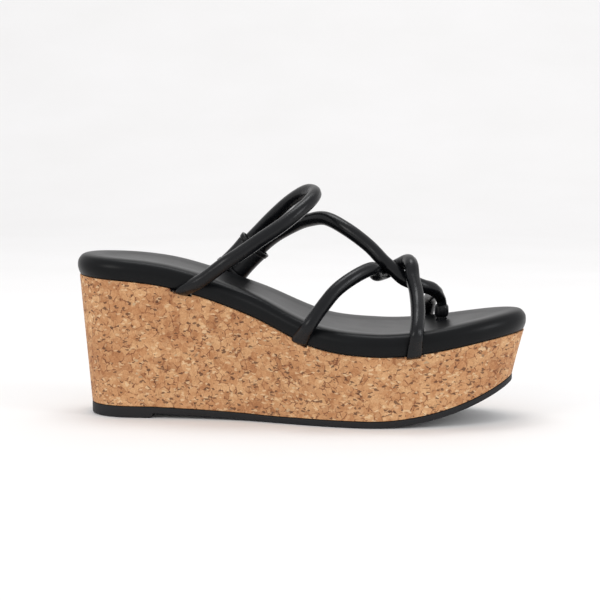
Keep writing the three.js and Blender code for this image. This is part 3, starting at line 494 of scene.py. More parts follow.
toe_middle = float(centre_line(237))
tread_paths.append([(237.5, toe_middle - 2.5), (236, toe_middle + 2.5)])
arrowheads(222, 3.6, 15)
for x in (208, 184, 159.5, 146.2, 139, 129.5, 113.8, 91.5, 73.6, 60, 27):
    straight_line(x)
slanted_strokes(196, 13, 12)
woven_band(168.5, 180.5, 11)
across_band(164.2, 2.3, 15, key_shape)
across_band(152.8, 4.6, 11.5, zigzag_shape)
across_band(142.6, 1.0, 4.4, wave_shape)
across_band(134.3, 2.0, 9, zigzag_shape, 0.5)
across_band(121.6, 5.2, 12.5, zigzag_shape)
across_band(84.8, 3.8, 10, zigzag_shape)
across_band(77.3, 1.0, 4.4, wave_shape)
across_band(66.8, 4.4, 11, zigzag_shape)
woven_band(47.5, 57, 9)
across_band(35, 4.2, 17, key_shape)
across_band(20.2, 3.6, 10, zigzag_shape)


def split_path(path, longest=2.0):
    """The same path with points no further apart than longest, so that it follows the sole."""
    points = [path[0]]
    for a, b in zip(path[:-1], path[1:]):
        pieces = max(1, math.ceil(math.dist(a, b) / longest))
        shares = [(k + 1) / pieces for k in range(pieces)]
        points += [tuple(np.array(a) + (np.array(b) - np.array(a)) * share) for share in shares]
    return points


path_points = []
path_edges = []
for path in tread_paths:
    first = len(path_points)
    flat = split_path(path)
    path_points += [(x, y, float(sole_bottom(x))) for x, y in flat]
    path_edges += [(first + i, first + i + 1) for i in range(len(flat) - 1)]

path_mesh = bpy.data.meshes.new("tread_paths")
path_mesh.from_pydata(((np.array(path_points) + SHIFT) / 1000).tolist(), path_edges, [])
cutter = bpy.data.objects.new("groove_cutter", path_mesh)
bpy.context.collection.objects.link(cutter)

group = bpy.data.node_groups.new("grooves_along_paths", "GeometryNodeTree")
face = group.interface
face.new_socket(name="Paths", in_out="INPUT", socket_type="NodeSocketGeometry")
wide_socket = face.new_socket(name="Groove width", in_out="INPUT", socket_type="NodeSocketFloat")
tall_socket = face.new_socket(name="Groove height", in_out="INPUT", socket_type="NodeSocketFloat")
finish_socket = face.new_socket(name="Rubber", in_out="INPUT", socket_type="NodeSocketMaterial")
face.new_socket(name="Grooves", in_out="OUTPUT", socket_type="NodeSocketGeometry")
start = group.nodes.new("NodeGroupInput")
to_curve = group.nodes.new("GeometryNodeMeshToCurve")
upright = group.nodes.new("GeometryNodeSetCurveNormal")
upright.mode = "Z_UP"
section = group.nodes.new("GeometryNodeCurvePrimitiveQuadrilateral")
sweep = group.nodes.new("GeometryNodeCurveToMesh")
realize = group.nodes.new("GeometryNodeRealizeInstances")
painted = group.nodes.new("GeometryNodeSetMaterial")
end = group.nodes.new("NodeGroupOutput")
sweep.inputs["Fill Caps"].default_value = True
group.links.new(start.outputs["Paths"], to_curve.inputs[0])
group.links.new(to_curve.outputs[0], upright.inputs["Curve"])
group.links.new(start.outputs["Groove width"], section.inputs["Width"])
group.links.new(start.outputs["Groove height"], section.inputs["Height"])
group.links.new(upright.outputs[0], sweep.inputs["Curve"])
group.links.new(section.outputs[0], sweep.inputs["Profile Curve"])
group.links.new(sweep.outputs[0], realize.inputs[0])
group.links.new(realize.outputs[0], painted.inputs["Geometry"])
group.links.new(start.outputs["Rubber"], painted.inputs["Material"])
group.links.new(painted.outputs[0], end.inputs["Grooves"])

growth = cutter.modifiers.new("grooves", "NODES")
growth.node_group = group
growth[wide_socket.identifier] = GROOVE_WIDE / 1000
growth[tall_socket.identifier] = 2 * GROOVE_DEEP / 1000
growth[finish_socket.identifier] = rubber
graph = bpy.context.evaluated_depsgraph_get()
grown = bpy.data.meshes.new_from_object(cutter.evaluated_get(graph))
cutter.modifiers.clear()
cutter.data = grown


def cut_piece(piece, tool, solver, crease):
    """Takes the tool's shape out of the piece, and the tool away."""
    cutting = piece.modifiers.new("cut", "BOOLEAN")
    cutting.operation = "DIFFERENCE"
    cutting.solver = solver
    cutting.object = tool
    if solver == "EXACT":
        cutting.use_self = True
    graph = bpy.context.evaluated_depsgraph_get()
    left = bpy.data.meshes.new_from_object(piece.evaluated_get(graph))
    piece.modifiers.clear()
    piece.data = left
    left.shade_smooth()
    left.set_sharp_from_angle(angle=math.radians(crease))
    bpy.data.objects.remove(tool)


GROOVE_CREASE = 35

cut_piece(outsole, cutter, "EXACT", GROOVE_CREASE)
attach(outsole, "root")
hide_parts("outsole")

# ---- Wedge core ------------------------------------------------------------------------------
# The block of pale foam that gives the wedge its height, cut and ground to shape, then glued
# between the outsole and the insole board. It is hidden inside the cork.


def paint_node(name, material):
    """Gives a piece that is shown straight from the frame its material."""
    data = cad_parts[name].data
    if not len(data.materials):
        data.materials.append(material)
    for index in range(len(data.materials)):
        data.materials[index] = material


# Pale closed-cell foam: matt and slightly speckled with cells about half a millimetre wide
foam, tree = new_material("cell_foam")
place = add_node(tree, "ShaderNodeTexCoord").outputs["Object"]
cells = add_node(tree, "ShaderNodeTexVoronoi", Vector=place, Scale=cells_of(0.5))
tone = add_node(tree, "ShaderNodeMixRGB", _0=cells.outputs["Distance"], _1=linear("D8CFBE"),
                _2=linear("EAE4D8"))
dents = add_node(tree, "ShaderNodeBump", Height=cells.outputs["Distance"], Strength=0.3, Distance=0.0002)
surface = add_node(tree, "ShaderNodeBsdfPrincipled", Base_Color=tone.outputs[0], Roughness=0.9,
                   Normal=dents.outputs[0])
add_node(tree, "ShaderNodeOutputMaterial", Surface=surface.outputs[0])
paint_node("wedge_core", foam)

# ---- Cork wrap -------------------------------------------------------------------------------
# A sheet of pressed cork granules glued round the wedge's wall, trimmed flush at the outsole and
# running up under the footbed's edge. It is notched where each strap dives into the joint.
CORK_SHEET = 1.6
TAB_HALF_WIDTH = 4.2
NOTCH_DEPTH = 1.4
NOTCH_UNDER = 0.55
NOTCH_SKEW = 0.62
NOTCH_CORNER = 0.1
NOTCH_FADE = 8
CORK_EDGE = 0.35

# Each strap's place at the joint line: share of the length, side, lean towards the toe
ANCHORS = {
    "instep": (0.252, -1, 1.15),
    "arch_rear": (0.518, -1, 0.55),
    "arch_front": (0.765, -1, 0.05),
    "toe_medial": (0.775, 1, 0),
    "medial_rear": (0.256, 1, 0.9),
    "medial_front": (0.303, 1, 0.9),
}


def notch_span(name):
    """Middle and half length of a strap's notch along the wall."""
    share, _, lean = ANCHORS[name]
    half = TAB_HALF_WIDTH * math.sqrt(1 + lean ** 2) - NOTCH_UNDER
    return share * FOOTBED_LENGTH - lean * NOTCH_SKEW, half


notch_edges = []
for name in ANCHORS:
    middle_x, half = notch_span(name)
    for edge in (middle_x - half, middle_x + half):
        notch_edges += [edge - NOTCH_CORNER, edge + NOTCH_CORNER]
CORK_PLAN = outline(fine_stations(sorted(notch_edges)))


def notch_at(points):
    """How deep the cork's top edge is cut at each plan point."""
    depth = np.zeros(len(points))
    for name, (_, side, _) in ANCHORS.items():
        middle_x, half = notch_span(name)
        near = np.abs(points[:, 0] - middle_x) < half
        same_side = np.sign(points[:, 1] - centre_line(points[:, 0])) == side
        depth[near & same_side] = NOTCH_DEPTH
    return depth


CORK_NOTCH = notch_at(CORK_PLAN[0])


def cork_ring(share, inset):
    """A ring on the sloping wall: share 0 at the outsole, 1 at the joint line, notched at the top."""
    def height(x):
        low = sole_top(x) + CLEARANCE
        return low + (joint_line(x) - low) * share - CORK_NOTCH * share ** NOTCH_FADE
    return ring(inset, height, 1 - share, CORK_PLAN)


# Pressed cork: tan flakes two to four millimetres wide, some with redder rims, among slim dark
# bark specks and a few pale slivers, and slightly hollow between the flakes
BIG_FLAKE = 4.2
SMALL_FLAKE = 2.1
SPECK_STRETCH = (0.62, 0.62, 1.25)
RIM_DEPTH = 0.1

cork, tree = new_material("pressed_cork")
place = add_node(tree, "ShaderNodeTexCoord").outputs["Object"]
wobble = add_node(tree, "ShaderNodeTexNoise", Vector=place, Scale=cells_of(2.38), Detail=3.0)
centred = add_node(tree, "ShaderNodeVectorMath", {"operation": "SUBTRACT"},
                   _0=wobble.outputs["Color"], _1=(0.5, 0.5, 0.5))
pushed = add_node(tree, "ShaderNodeVectorMath", {"operation": "SCALE"}, _0=centred.outputs[0], Scale=0.0022)
bent = add_node(tree, "ShaderNodeVectorMath", {"operation": "ADD"}, _0=place, _1=pushed.outputs[0]).outputs[0]

# Each flake's own tone, large and small flakes together, with fine grain over both
big = add_node(tree, "ShaderNodeTexVoronoi", Vector=bent, Scale=cells_of(BIG_FLAKE))
small = add_node(tree, "ShaderNodeTexVoronoi", Vector=bent, Scale=cells_of(SMALL_FLAKE))
big_pick = add_node(tree, "ShaderNodeSeparateColor", Color=big.outputs["Color"])
small_pick = add_node(tree, "ShaderNodeSeparateColor", Color=small.outputs["Color"])
big_tone = add_node(tree, "ShaderNodeValToRGB", Fac=big_pick.outputs[0],
                    stops=[(0, "AE7A4E"), (0.2, "CC986A"), (0.6, "DDAE80"), (0.92, "EBC496")])
small_tone = add_node(tree, "ShaderNodeValToRGB", Fac=small_pick.outputs[0],
                      stops=[(0, "AE7A50"), (0.25, "D2A274"), (0.7, "E2B588"), (1, "F0CDA3")])
flakes = add_node(tree, "ShaderNodeMixRGB", _0=0.45, _1=big_tone.outputs[0], _2=small_tone.outputs[0])
grain = add_node(tree, "ShaderNodeTexNoise", Vector=bent, Scale=cells_of(0.667), Detail=3.0)
grain_tone = add_node(tree, "ShaderNodeValToRGB", Fac=grain.outputs["Fac"],
                      stops=[(0.3, "D9C8B8"), (0.65, "FFFFFF")])
grained = add_node(tree, "ShaderNodeMixRGB", {"blend_type": "MULTIPLY"}, _0=0.7,
                   _1=flakes.outputs[0], _2=grain_tone.outputs[0])

# Red-brown rims in some places and hairline cracks in others
big_edge = add_node(tree, "ShaderNodeTexVoronoi", {"feature": "DISTANCE_TO_EDGE"},
                    Vector=bent, Scale=cells_of(BIG_FLAKE)).outputs["Distance"]
small_edge = add_node(tree, "ShaderNodeTexVoronoi", {"feature": "DISTANCE_TO_EDGE"},
                      Vector=bent, Scale=cells_of(SMALL_FLAKE)).outputs["Distance"]
gate = add_node(tree, "ShaderNodeTexNoise", Vector=place, Scale=cells_of(3.03), Detail=2.0).outputs["Fac"]
rim_places = add_node(tree, "ShaderNodeMapRange", Value=gate, From_Min=0.47, From_Max=0.58)
rims = add_node(tree, "ShaderNodeMapRange", Value=big_edge, From_Max=0.07, To_Min=1.0, To_Max=0.0)
rim_share = add_node(tree, "ShaderNodeMath", {"operation": "MULTIPLY"},
                     _0=rims.outputs[0], _1=rim_places.outputs[0])
rimmed = add_node(tree, "ShaderNodeMixRGB", _0=rim_share.outputs[0], _1=grained.outputs[0],
                  _2=linear("74401F"))
crack_places = add_node(tree, "ShaderNodeMapRange", Value=gate, From_Min=0.38, From_Max=0.46,
                        To_Min=1.0, To_Max=0.0)
cracks = add_node(tree, "ShaderNodeMapRange", Value=small_edge, From_Max=0.05, To_Min=0.5, To_Max=0.0)
crack_share = add_node(tree, "ShaderNodeMath", {"operation": "MULTIPLY"},
                       _0=cracks.outputs[0], _1=crack_places.outputs[0])
cracked = add_node(tree, "ShaderNodeMixRGB", _0=crack_share.outputs[0], _1=rimmed.outputs[0],
                   _2=linear("8A5530"))

# Dark bark specks and pale slivers, longer than they are tall
stretched = add_node(tree, "ShaderNodeVectorMath", {"operation": "MULTIPLY"}, _0=bent, _1=SPECK_STRETCH)
slim = add_node(tree, "ShaderNodeTexVoronoi", Vector=stretched.outputs[0], Scale=cells_of(1.11))
slim_pick = add_node(tree, "ShaderNodeSeparateColor", Color=slim.outputs["Color"])
specks = add_node(tree, "ShaderNodeMapRange", Value=slim_pick.outputs[1],
                  From_Min=0.925, From_Max=0.935, To_Max=0.75)
specked = add_node(tree, "ShaderNodeMixRGB", _0=specks.outputs[0], _1=cracked.outputs[0],
                   _2=linear("4A2A16"))
slivers = add_node(tree, "ShaderNodeMapRange", Value=slim_pick.outputs[2],
                   From_Min=0.93, From_Max=0.95, To_Max=0.6)
slivered = add_node(tree, "ShaderNodeMixRGB", _0=slivers.outputs[0], _1=specked.outputs[0],
                    _2=linear("F4DDB8"))

# Broad patches a little browner than the rest
patches = add_node(tree, "ShaderNodeTexNoise", Vector=place, Scale=cells_of(26.3), Detail=2.0)
patch_tone = add_node(tree, "ShaderNodeValToRGB", Fac=patches.outputs["Fac"],
                      stops=[(0.3, "E6D2BF"), (0.7, "FFF6EA")])
cork_tone = add_node(tree, "ShaderNodeMixRGB", {"blend_type": "MULTIPLY"}, _0=1.0,
                     _1=slivered.outputs[0], _2=patch_tone.outputs[0])
relief = add_node(tree, "ShaderNodeMath", {"operation": "MINIMUM"}, _0=big_edge, _1=RIM_DEPTH)
dents = add_node(tree, "ShaderNodeBump", Height=relief.outputs[0], Strength=0.35, Distance=0.0012)
surface = add_node(tree, "ShaderNodeBsdfPrincipled", Base_Color=cork_tone.outputs[0], Roughness=0.72,
                   Normal=dents.outputs[0])
add_node(tree, "ShaderNodeOutputMaterial", Surface=surface.outputs[0])

CORK_SHARES = [0.006, 0.25, 0.5, 0.75, 0.93, 0.992]
cork_rings = [cork_ring(0, CORK_EDGE)] + [cork_ring(s, 0) for s in CORK_SHARES]
cork_rings += [cork_ring(1, CORK_EDGE)]
cork_rings += [cork_ring(s, CORK_SHEET) for s in (1.0, 0.75, 0.5, 0.25, 0.0)]
cork_points = np.concatenate(cork_rings)
cork_faces = wall_faces(len(cork_rings), len(CORK_PLAN[0]), True)
cork_piece = add_piece("cork_wrap_sheet", cork_points, cork_faces, cork, "cork", 35)
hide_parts("cork_wrap")

# ---- Insole board, filler, shank and fixings -------------------------------------------------
# The stiff parts that lasting needs, hidden in the sandal: a fibre board with a spring-steel
# shank riveted under it, felt to fill the hollow, an anchor plate and a tack for each strap.

# Brown pressed fibre: fine mottling with the odd longer fibre
board, tree = new_material("pressed_fibre_board")
place = add_node(tree, "ShaderNodeTexCoord").outputs["Object"]
fibres = add_node(tree, "ShaderNodeTexNoise", Vector=place, Scale=cells_of(1.11), Detail=6.0)
tone = add_node(tree, "ShaderNodeMixRGB", _0=fibres.outputs["Fac"], _1=linear("6E573D"), _2=linear("9C7F5B"))
surface = add_node(tree, "ShaderNodeBsdfPrincipled", Base_Color=tone.outputs[0], Roughness=0.88)
add_node(tree, "ShaderNodeOutputMaterial", Surface=surface.outputs[0])

# Grey wool felt: soft, cloudy and quite without shine
felt, tree = new_material("grey_felt")
place = add_node(tree, "ShaderNodeTexCoord").outputs["Object"]
wool = add_node(tree, "ShaderNodeTexNoise", Vector=place, Scale=cells_of(0.667), Detail=8.0)
tone = add_node(tree, "ShaderNodeMixRGB", _0=wool.outputs["Fac"], _1=linear("7E7A72"), _2=linear("B0ABA1"))
surface = add_node(tree, "ShaderNodeBsdfPrincipled", Base_Color=tone.outputs[0], Roughness=0.97)
add_node(tree, "ShaderNodeOutputMaterial", Surface=surface.outputs[0])

# Blued spring steel: dark metal with a brushed, slightly uneven shine
steel, tree = new_material("spring_steel")
place = add_node(tree, "ShaderNodeTexCoord").outputs["Object"]
brushed = add_node(tree, "ShaderNodeTexNoise", Vector=place, Scale=cells_of(1.43), Detail=4.0)
rough = add_node(tree, "ShaderNodeMapRange", Value=brushed.outputs["Fac"], To_Min=0.28, To_Max=0.45)
surface = add_node(tree, "ShaderNodeBsdfPrincipled", Base_Color=linear("9A9DA3"), Metallic=1.0,
                   Roughness=rough.outputs[0])
add_node(tree, "ShaderNodeOutputMaterial", Surface=surface.outputs[0])

paint_node("insole_board", board)
paint_node("toe_post_anchor", board)
paint_node("lasting_filler", felt)
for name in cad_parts:
    if name in ("shank", "shank_rivet_rear", "shank_rivet_front") or name.startswith("strap_tack"):
        paint_node(name, steel)

# ---- Footbed: foam and leather cover ---------------------------------------------------------
# A foam cushion under one skin of black leather, drawn down over the edge as a deep smooth band
# and turned in under the board. The toe post comes up through a slit in the leather.
LEATHER = 1.2
LIP_INSET = 0.6
LIP_THICKNESS = 1.2
LIP_REACH = 9
LIP_CLEAR = 0.4
FOOTBED_DEPTH = 12
EDGE_ROUND = 6
SIDE_POINTS = 26

# The cover's edge from the joint line up and over, by share of the way: inset and height
side_inset = smooth_curve([[0, LIP_INSET], [0.09, 0.1], [0.2, -0.6], [0.36, -BULGE], [0.52, -0.5],
                           [0.64, 1.2], [0.76, 3.3], [0.86, EDGE_ROUND], [1, EDGE_ROUND * 2]])
side_height = smooth_curve([[0, 0.3], [0.09, 0.9], [0.2, 2.6], [0.36, 5.04], [0.52, 8.16], [0.64, 10.56],
                            [0.76, 11.64], [0.86, FOOTBED_DEPTH], [1, 11.75]])
SIDE = [(float(side_inset(t)), float(side_height(t))) for t in np.linspace(0, 1, SIDE_POINTS)]
TOP = [(14, 11.55), (16, 11.4), (18, 11.25)]


def layer(inset, height):
    """A ring at an even height above the joint line."""
    return ring(inset, lambda x: joint_line(x) + height)


def inside_of(pairs, leather):
    """The same shape one leather thickness in."""
    half = FOOTBED_DEPTH / 2
    return [(i + leather, h - leather * min(max((h - half) / half, 0), 1)) for i, h in pairs]


# Black footbed leather: fine close grain, a satin surface that greys where light glances off it
sock_leather, tree = new_material("satin_sock_leather")
place = add_node(tree, "ShaderNodeTexCoord").outputs["Object"]
pores = add_node(tree, "ShaderNodeTexVoronoi", Vector=place, Scale=cells_of(0.667))
cloud = add_node(tree, "ShaderNodeTexNoise", Vector=place, Scale=cells_of(16.7), Detail=4.0)
tone = add_node(tree, "ShaderNodeMixRGB", _0=cloud.outputs["Fac"], _1=linear("070809"), _2=linear("101113"))
rough = add_node(tree, "ShaderNodeMapRange", Value=cloud.outputs["Fac"], To_Min=0.3, To_Max=0.4)
dents = add_node(tree, "ShaderNodeBump", Height=pores.outputs["Distance"], Strength=0.14, Distance=0.00015)
surface = add_node(tree, "ShaderNodeBsdfPrincipled", Base_Color=tone.outputs[0],
                   Roughness=rough.outputs[0], Specular_IOR_Level=0.15, Normal=dents.outputs[0])
add_node(tree, "ShaderNodeOutputMaterial", Surface=surface.outputs[0])

FOAM_GAP = 0.4
FOAM_BOTTOM = 4.1
FOAM_SIDE_FROM = 5
FOAM_TOP = 10.4

foam_pairs = [p for p in inside_of(SIDE + TOP, LEATHER + FOAM_GAP) if p[1] > FOAM_SIDE_FROM]
foam_rings = [layer(foam_pairs[0][0], FOAM_BOTTOM)]
foam_rings += [layer(inset, min(height, FOAM_TOP)) for inset, height in foam_pairs]
foam_points, foam_faces = stacked(foam_rings)
foam_piece = add_piece("footbed_cushion", foam_points, foam_faces, foam, "footbed_foam")
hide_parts("footbed_foam")

cover_pairs = SIDE + TOP
LIP_TOP = CLEARANCE + LIP_THICKNESS
inner_pairs = [p for p in inside_of(cover_pairs, LEATHER) if p[1] > LIP_TOP + LIP_CLEAR]
cover_rings = [layer(i, h) for i, h in inner_pairs[::-1]]
cover_rings += [layer(LEATHER + LIP_INSET, LIP_TOP), layer(LIP_REACH, LIP_TOP), layer(LIP_REACH, CLEARANCE)]
cover_rings += [layer(i, h) for i, h in cover_pairs]
cover_points, cover_faces = stacked(cover_rings)
cover = add_piece("footbed_leather_cover", cover_points, cover_faces, sock_leather, None)

POST_AT = 0.815
POST_ACROSS = 13
SLIT_HALF = (3.1, 3.5, 8)
SLIT_MIDDLE = 10


def slit_block(centre, half):
    """An upright block, thrown away once it has cut the slit."""
    corners = [(x, y, z) for z in (-1, 1) for x, y in ((-1, -1), (1, -1), (1, 1), (-1, 1))]
    points = np.array(centre) + np.array(corners) * np.array(half)
    faces = [(0, 3, 2, 1), (4, 5, 6, 7), (0, 1, 5, 4), (1, 2, 6, 5), (2, 3, 7, 6), (3, 0, 4, 7)]
    return add_piece("slit_tool", points, faces, sock_leather, None)


post_x = POST_AT * FOOTBED_LENGTH
slit = slit_block((post_x, POST_ACROSS, joint_line(post_x) + SLIT_MIDDLE), SLIT_HALF)
SLIT_CREASE = 40

cut_piece(cover, slit, "MANIFOLD", SLIT_CREASE)
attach(cover, "root")
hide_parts("footbed_cover")

# ---- Straps ----------------------------------------------------------------------------------
# Round straps of soft black leather rolled over a cord, glued along a seam on the foot's side.
# Their ends are skived flat, cross the footbed's band at a slant and are tacked under its edge.
STRAP = 7.6
SKIN = 1.2
TAB_HALF_THICKNESS = 0.75
TAB_SKIN = 0.55
TAB_SUNK = 0.6
TAB_LENGTH = 9
RING_STEP = 0.8
STRAP_SIDES = 30

TAB = {"wide": TAB_HALF_WIDTH, "thick": TAB_HALF_THICKNESS, "skin": TAB_SKIN, "flat": 9.5, "round": 26}
SHORT_TAB = {**TAB, "round": 23}
TUBE_TAB = {**TAB, "wide": 3.9, "flat": 8, "round": 19}
SLEEVE_END = {"wide": STRAP / 2, "thick": STRAP / 2, "skin": SKIN, "flat": 1, "round": 2}
LEG_END = {"wide": 2.7, "thick": 1.4, "skin": 0.95, "flat": 21, "round": 35}


def point_over(share, across, above):
    """A point at a share of the length, so far across and above the joint line."""
    x = share * FOOTBED_LENGTH
    return np.array([x, across, float(joint_line(x)) + above])


def rim_point(x, side):
    """A plan point on the footbed's outline."""
    return np.array([x, float(centre_line(x) + side * half_width(x))])


def anchor_points(name):
    """From a tab's inner end, out under the footbed's edge and up its side band."""
    share, side, lean = ANCHORS[name]
    steps = [(-TAB_LENGTH, -TAB_SUNK), (-TAB_LENGTH / 2, -TAB_SUNK), (-1.6, -TAB_SUNK),
             (0.5, -TAB_SUNK * 0.7), (1.6, 0.6), (2.3, 2.9), (3.15 + lean * 0.4, 6.5),
             (3.7 + lean * 0.4, FOOTBED_DEPTH - 1)]
    points = []
    for out_by, above in steps:
        x = share * FOOTBED_LENGTH + lean * (above if above > 0 else min(0, out_by))
        rim = rim_point(x, side)
        along = rim_point(x + 1, side) - rim
        along /= np.linalg.norm(along)
        plan = rim + np.array([along[1], -along[0]]) * -side * out_by
        points.append(np.array([plan[0], plan[1], float(joint_line(plan[0])) + above]))
    return points


def rim_direction(name):
    """The way the joint line runs at a strap's tab."""
    share, side, lean = ANCHORS[name]
    x = share * FOOTBED_LENGTH
    flat = rim_point(x + 1, side) - rim_point(x - 1, side)
    slope = float(joint_line(x + 1) - joint_line(x - 1)) / 2
    direction = np.array([flat[0], flat[1], slope * flat[0]])
    return direction / np.linalg.norm(direction)


SLEEVE_TILT = math.radians(47)
SLEEVE_LENGTH = 22
sleeve_axis = np.array([math.cos(SLEEVE_TILT), 0, math.sin(SLEEVE_TILT)])
sleeve_across = np.array([math.sin(SLEEVE_TILT), 0, -math.cos(SLEEVE_TILT)])
sleeve_centre = point_over(0.35, 34, 20.5)
TUBE_OFFSET = (STRAP + CLEARANCE) / 2
SLEEVE_MOUTH = SLEEVE_LENGTH / 2 + 2
END_FROM_CENTRE = 4


def in_sleeve(side, along):
    """A point on one of the two tubes' middle lines inside the sleeve."""
    return sleeve_centre + sleeve_across * side * TUBE_OFFSET + sleeve_axis * along


KNOT_PITCH = math.radians(40)
KNOT_SLACK = 0.8
KNOT_RADIUS = STRAP + KNOT_SLACK
knot_along = np.array([math.cos(KNOT_PITCH), 0, -math.sin(KNOT_PITCH)])
knot_over = np.array([math.sin(KNOT_PITCH), 0, math.cos(KNOT_PITCH)])
knot_centre = point_over(0.712, -5, 42.6)


def at_knot(along, over, inwards):
    """Along the cross strap, then over it and towards the inner side in strap spacings."""
    point = knot_centre + knot_along * along + knot_over * over * KNOT_RADIUS
    return point + np.array([0, inwards * KNOT_RADIUS, 0])


LEG_APART = 1.7
LEG_HEIGHTS = (-0.2, 6, 12, 21)


def leg_points(side):
    """Up one leg of the toe post."""
    base = point_over(POST_AT, POST_ACROSS + side * LEG_APART, 0)
    return [base + np.array([0, 0, height]) for height in LEG_HEIGHTS]


# Each strap's route, its two ends and the way that each end lies flat
ROUTES = {
    "instep_strap": (
        anchor_points("instep") + [
            point_over(0.352, -33.5, 24), point_over(0.385, -32, 32), point_over(0.424, -29.5, 42.5),
            point_over(0.47, -25, 55.5), point_over(0.508, -17.5, 67.5), point_over(0.53, -8, 75.5),
            point_over(0.532, 1, 78.5), point_over(0.512, 10, 77), point_over(0.47, 20, 66.5),
            point_over(0.424, 27, 51.5), in_sleeve(-1, SLEEVE_MOUTH), in_sleeve(-1, END_FROM_CENTRE)],
        TAB, SLEEVE_END, rim_direction("instep"), sleeve_across),
    "cross_strap": (
        [in_sleeve(1, END_FROM_CENTRE), in_sleeve(1, SLEEVE_MOUTH),
         point_over(0.435, 29.5, 42.5), point_over(0.475, 25, 52.5), point_over(0.513, 18, 60.5),
         point_over(0.553, 10.5, 65.5), point_over(0.6, 4, 63), point_over(0.655, -1, 55),
         at_knot(-7, 0, 0.05), at_knot(0, 0, 0), at_knot(7, 0, 0),
         point_over(0.772, -2, 33), point_over(0.798, 4, 29.2)] + leg_points(-1)[::-1],
        SLEEVE_END, LEG_END, sleeve_across, np.array([1.0, 0, 0])),
    "arch_strap": (
        anchor_points("arch_rear") + [
            point_over(0.567, -41, 23), point_over(0.596, -35, 33), point_over(0.64, -25, 41.5),
            at_knot(-9.4, -0.68, -1.3), at_knot(-6, -0.9, -0.3), at_knot(-3.2, -0.6, 0.76),
            at_knot(0, 0.25, 1.06), at_knot(2.5, 1, 0.4), at_knot(5.4, 1.02, -0.5),
            at_knot(10.2, 0.55, -1.2), point_over(0.765, -22.5, 31.5), point_over(0.771, -33.5, 22.5),
        ] + anchor_points("arch_front")[::-1],
        TAB, TAB, rim_direction("arch_rear"), rim_direction("arch_front")),
    "toe_strap": (
        leg_points(1) + [
            point_over(0.806, 20, 24.6), point_over(0.797, 29, 25.2), point_over(0.786, 38.5, 21),
        ] + anchor_points("toe_medial")[::-1],
        LEG_END, SHORT_TAB, np.array([1.0, 0, 0]), rim_direction("toe_medial")),
    "medial_rear_tube": (
        anchor_points("medial_rear")[:5] + [in_sleeve(-1, -SLEEVE_MOUTH), in_sleeve(-1, -END_FROM_CENTRE)],
        TUBE_TAB, SLEEVE_END, rim_direction("medial_rear"), sleeve_across),
    "medial_front_tube": (
        anchor_points("medial_front")[:5] + [in_sleeve(1, -SLEEVE_MOUTH), in_sleeve(1, -END_FROM_CENTRE)],
        TUBE_TAB, SLEEVE_END, rim_direction("medial_front"), sleeve_across),
}


def curve_through(points, per_span=80):
    """A centripetal Catmull-Rom curve through the points, as many close points."""
    ends = [2 * points[0] - points[1]] + list(points) + [2 * points[-1] - points[-2]]
    t = np.linspace(0, 1, per_span, endpoint=False).reshape(-1, 1)
    spans = []
    for p0, p1, p2, p3 in zip(ends, ends[1:], ends[2:], ends[3:]):
        d0, d1, d2 = (math.sqrt(np.linalg.norm(b - a)) for a, b in ((p0, p1), (p1, p2), (p2, p3)))
        t1 = ((p1 - p0) / d0 - (p2 - p0) / (d0 + d1) + (p2 - p1) / d1) * d1
        t2 = ((p2 - p1) / d1 - (p3 - p1) / (d1 + d2) + (p3 - p2) / d2) * d1
        c2 = -3 * p1 + 3 * p2 - 2 * t1 - t2
        c3 = 2 * p1 - 2 * p2 + t1 + t2
        spans.append(p1 + t1 * t + c2 * t ** 2 + c3 * t ** 3)
    return np.concatenate(spans + [np.array([points[-1]])])


def smoothstep(value, low, high):
    """Rises from 0 to 1 between low and high, level at both."""
    t = np.clip((value - low) / (high - low), 0, 1)
    return t * t * (3 - 2 * t)


def square_to(vector, tangent):
    """The vector without its share along the tangent, one long."""
    vector = vector - tangent * np.dot(vector, tangent)
    return vector / np.linalg.norm(vector)


def frames_along(route):
    """Evenly spaced frames that turn as little as they can, and the distances they stand at."""
    points, start_end, finish_end, start_across, finish_across = route
    fine = curve_through(points)
    passed = np.concatenate([[0], np.cumsum(np.linalg.norm(np.diff(fine, axis=0), axis=1))])
    count = int(passed[-1] / RING_STEP)
    at = np.linspace(0, passed[-1], count + 1)
    centres = np.stack([np.interp(at, passed, fine[:, k]) for k in range(3)], 1)
    tangents = np.gradient(centres, at, axis=0)
    tangents /= np.linalg.norm(tangents, axis=1, keepdims=True)
    across = [square_to(start_across, tangents[0])]
    for tangent in tangents[1:]:
        across.append(square_to(across[-1], tangent))
    wanted = square_to(finish_across, tangents[-1])
    twist = math.atan2(np.dot(np.cross(across[-1], wanted), tangents[-1]), np.dot(across[-1], wanted))
    twist = (twist + math.pi / 2) % math.pi - math.pi / 2
    turn = twist * smoothstep(at, start_end["flat"], at[-1] - finish_end["flat"])
    across = np.array(across)
    through = np.cross(tangents, across)
    turned = across * np.cos(turn)[:, None] + through * np.sin(turn)[:, None]
    return at, centres, tangents, turned, np.cross(tangents, turned)


def section_of(route, at):
    """Half width, half thickness and skin at each distance."""
    start, finish = route[1], route[2]
    flat_start = 1 - smoothstep(at, start["flat"], start["round"])
    flat_finish = 1 - smoothstep(at[-1] - at, finish["flat"], finish["round"])
    sizes = []
    for key, plain in (("wide", STRAP / 2), ("thick", STRAP / 2), ("skin", SKIN)):
        sizes.append(plain + (start[key] - plain) * flat_start + (finish[key] - plain) * flat_finish)
    return sizes


CREASE_EVERY = 4.4
CREASE_DEEP = 0.4
CREASE_WANDER = 2.2
CREASED_BEND = (0.035, 0.11)
WAVER_POINTS = 9
SWELL = 0.1
SWELL_POINTS = 14
SEAM_DEEP = 0.24
SEAM_WIDE = 0.22
SEAM_FACES = np.array([150.0, 0.0, 60.0])
INNER_EVERY = 3


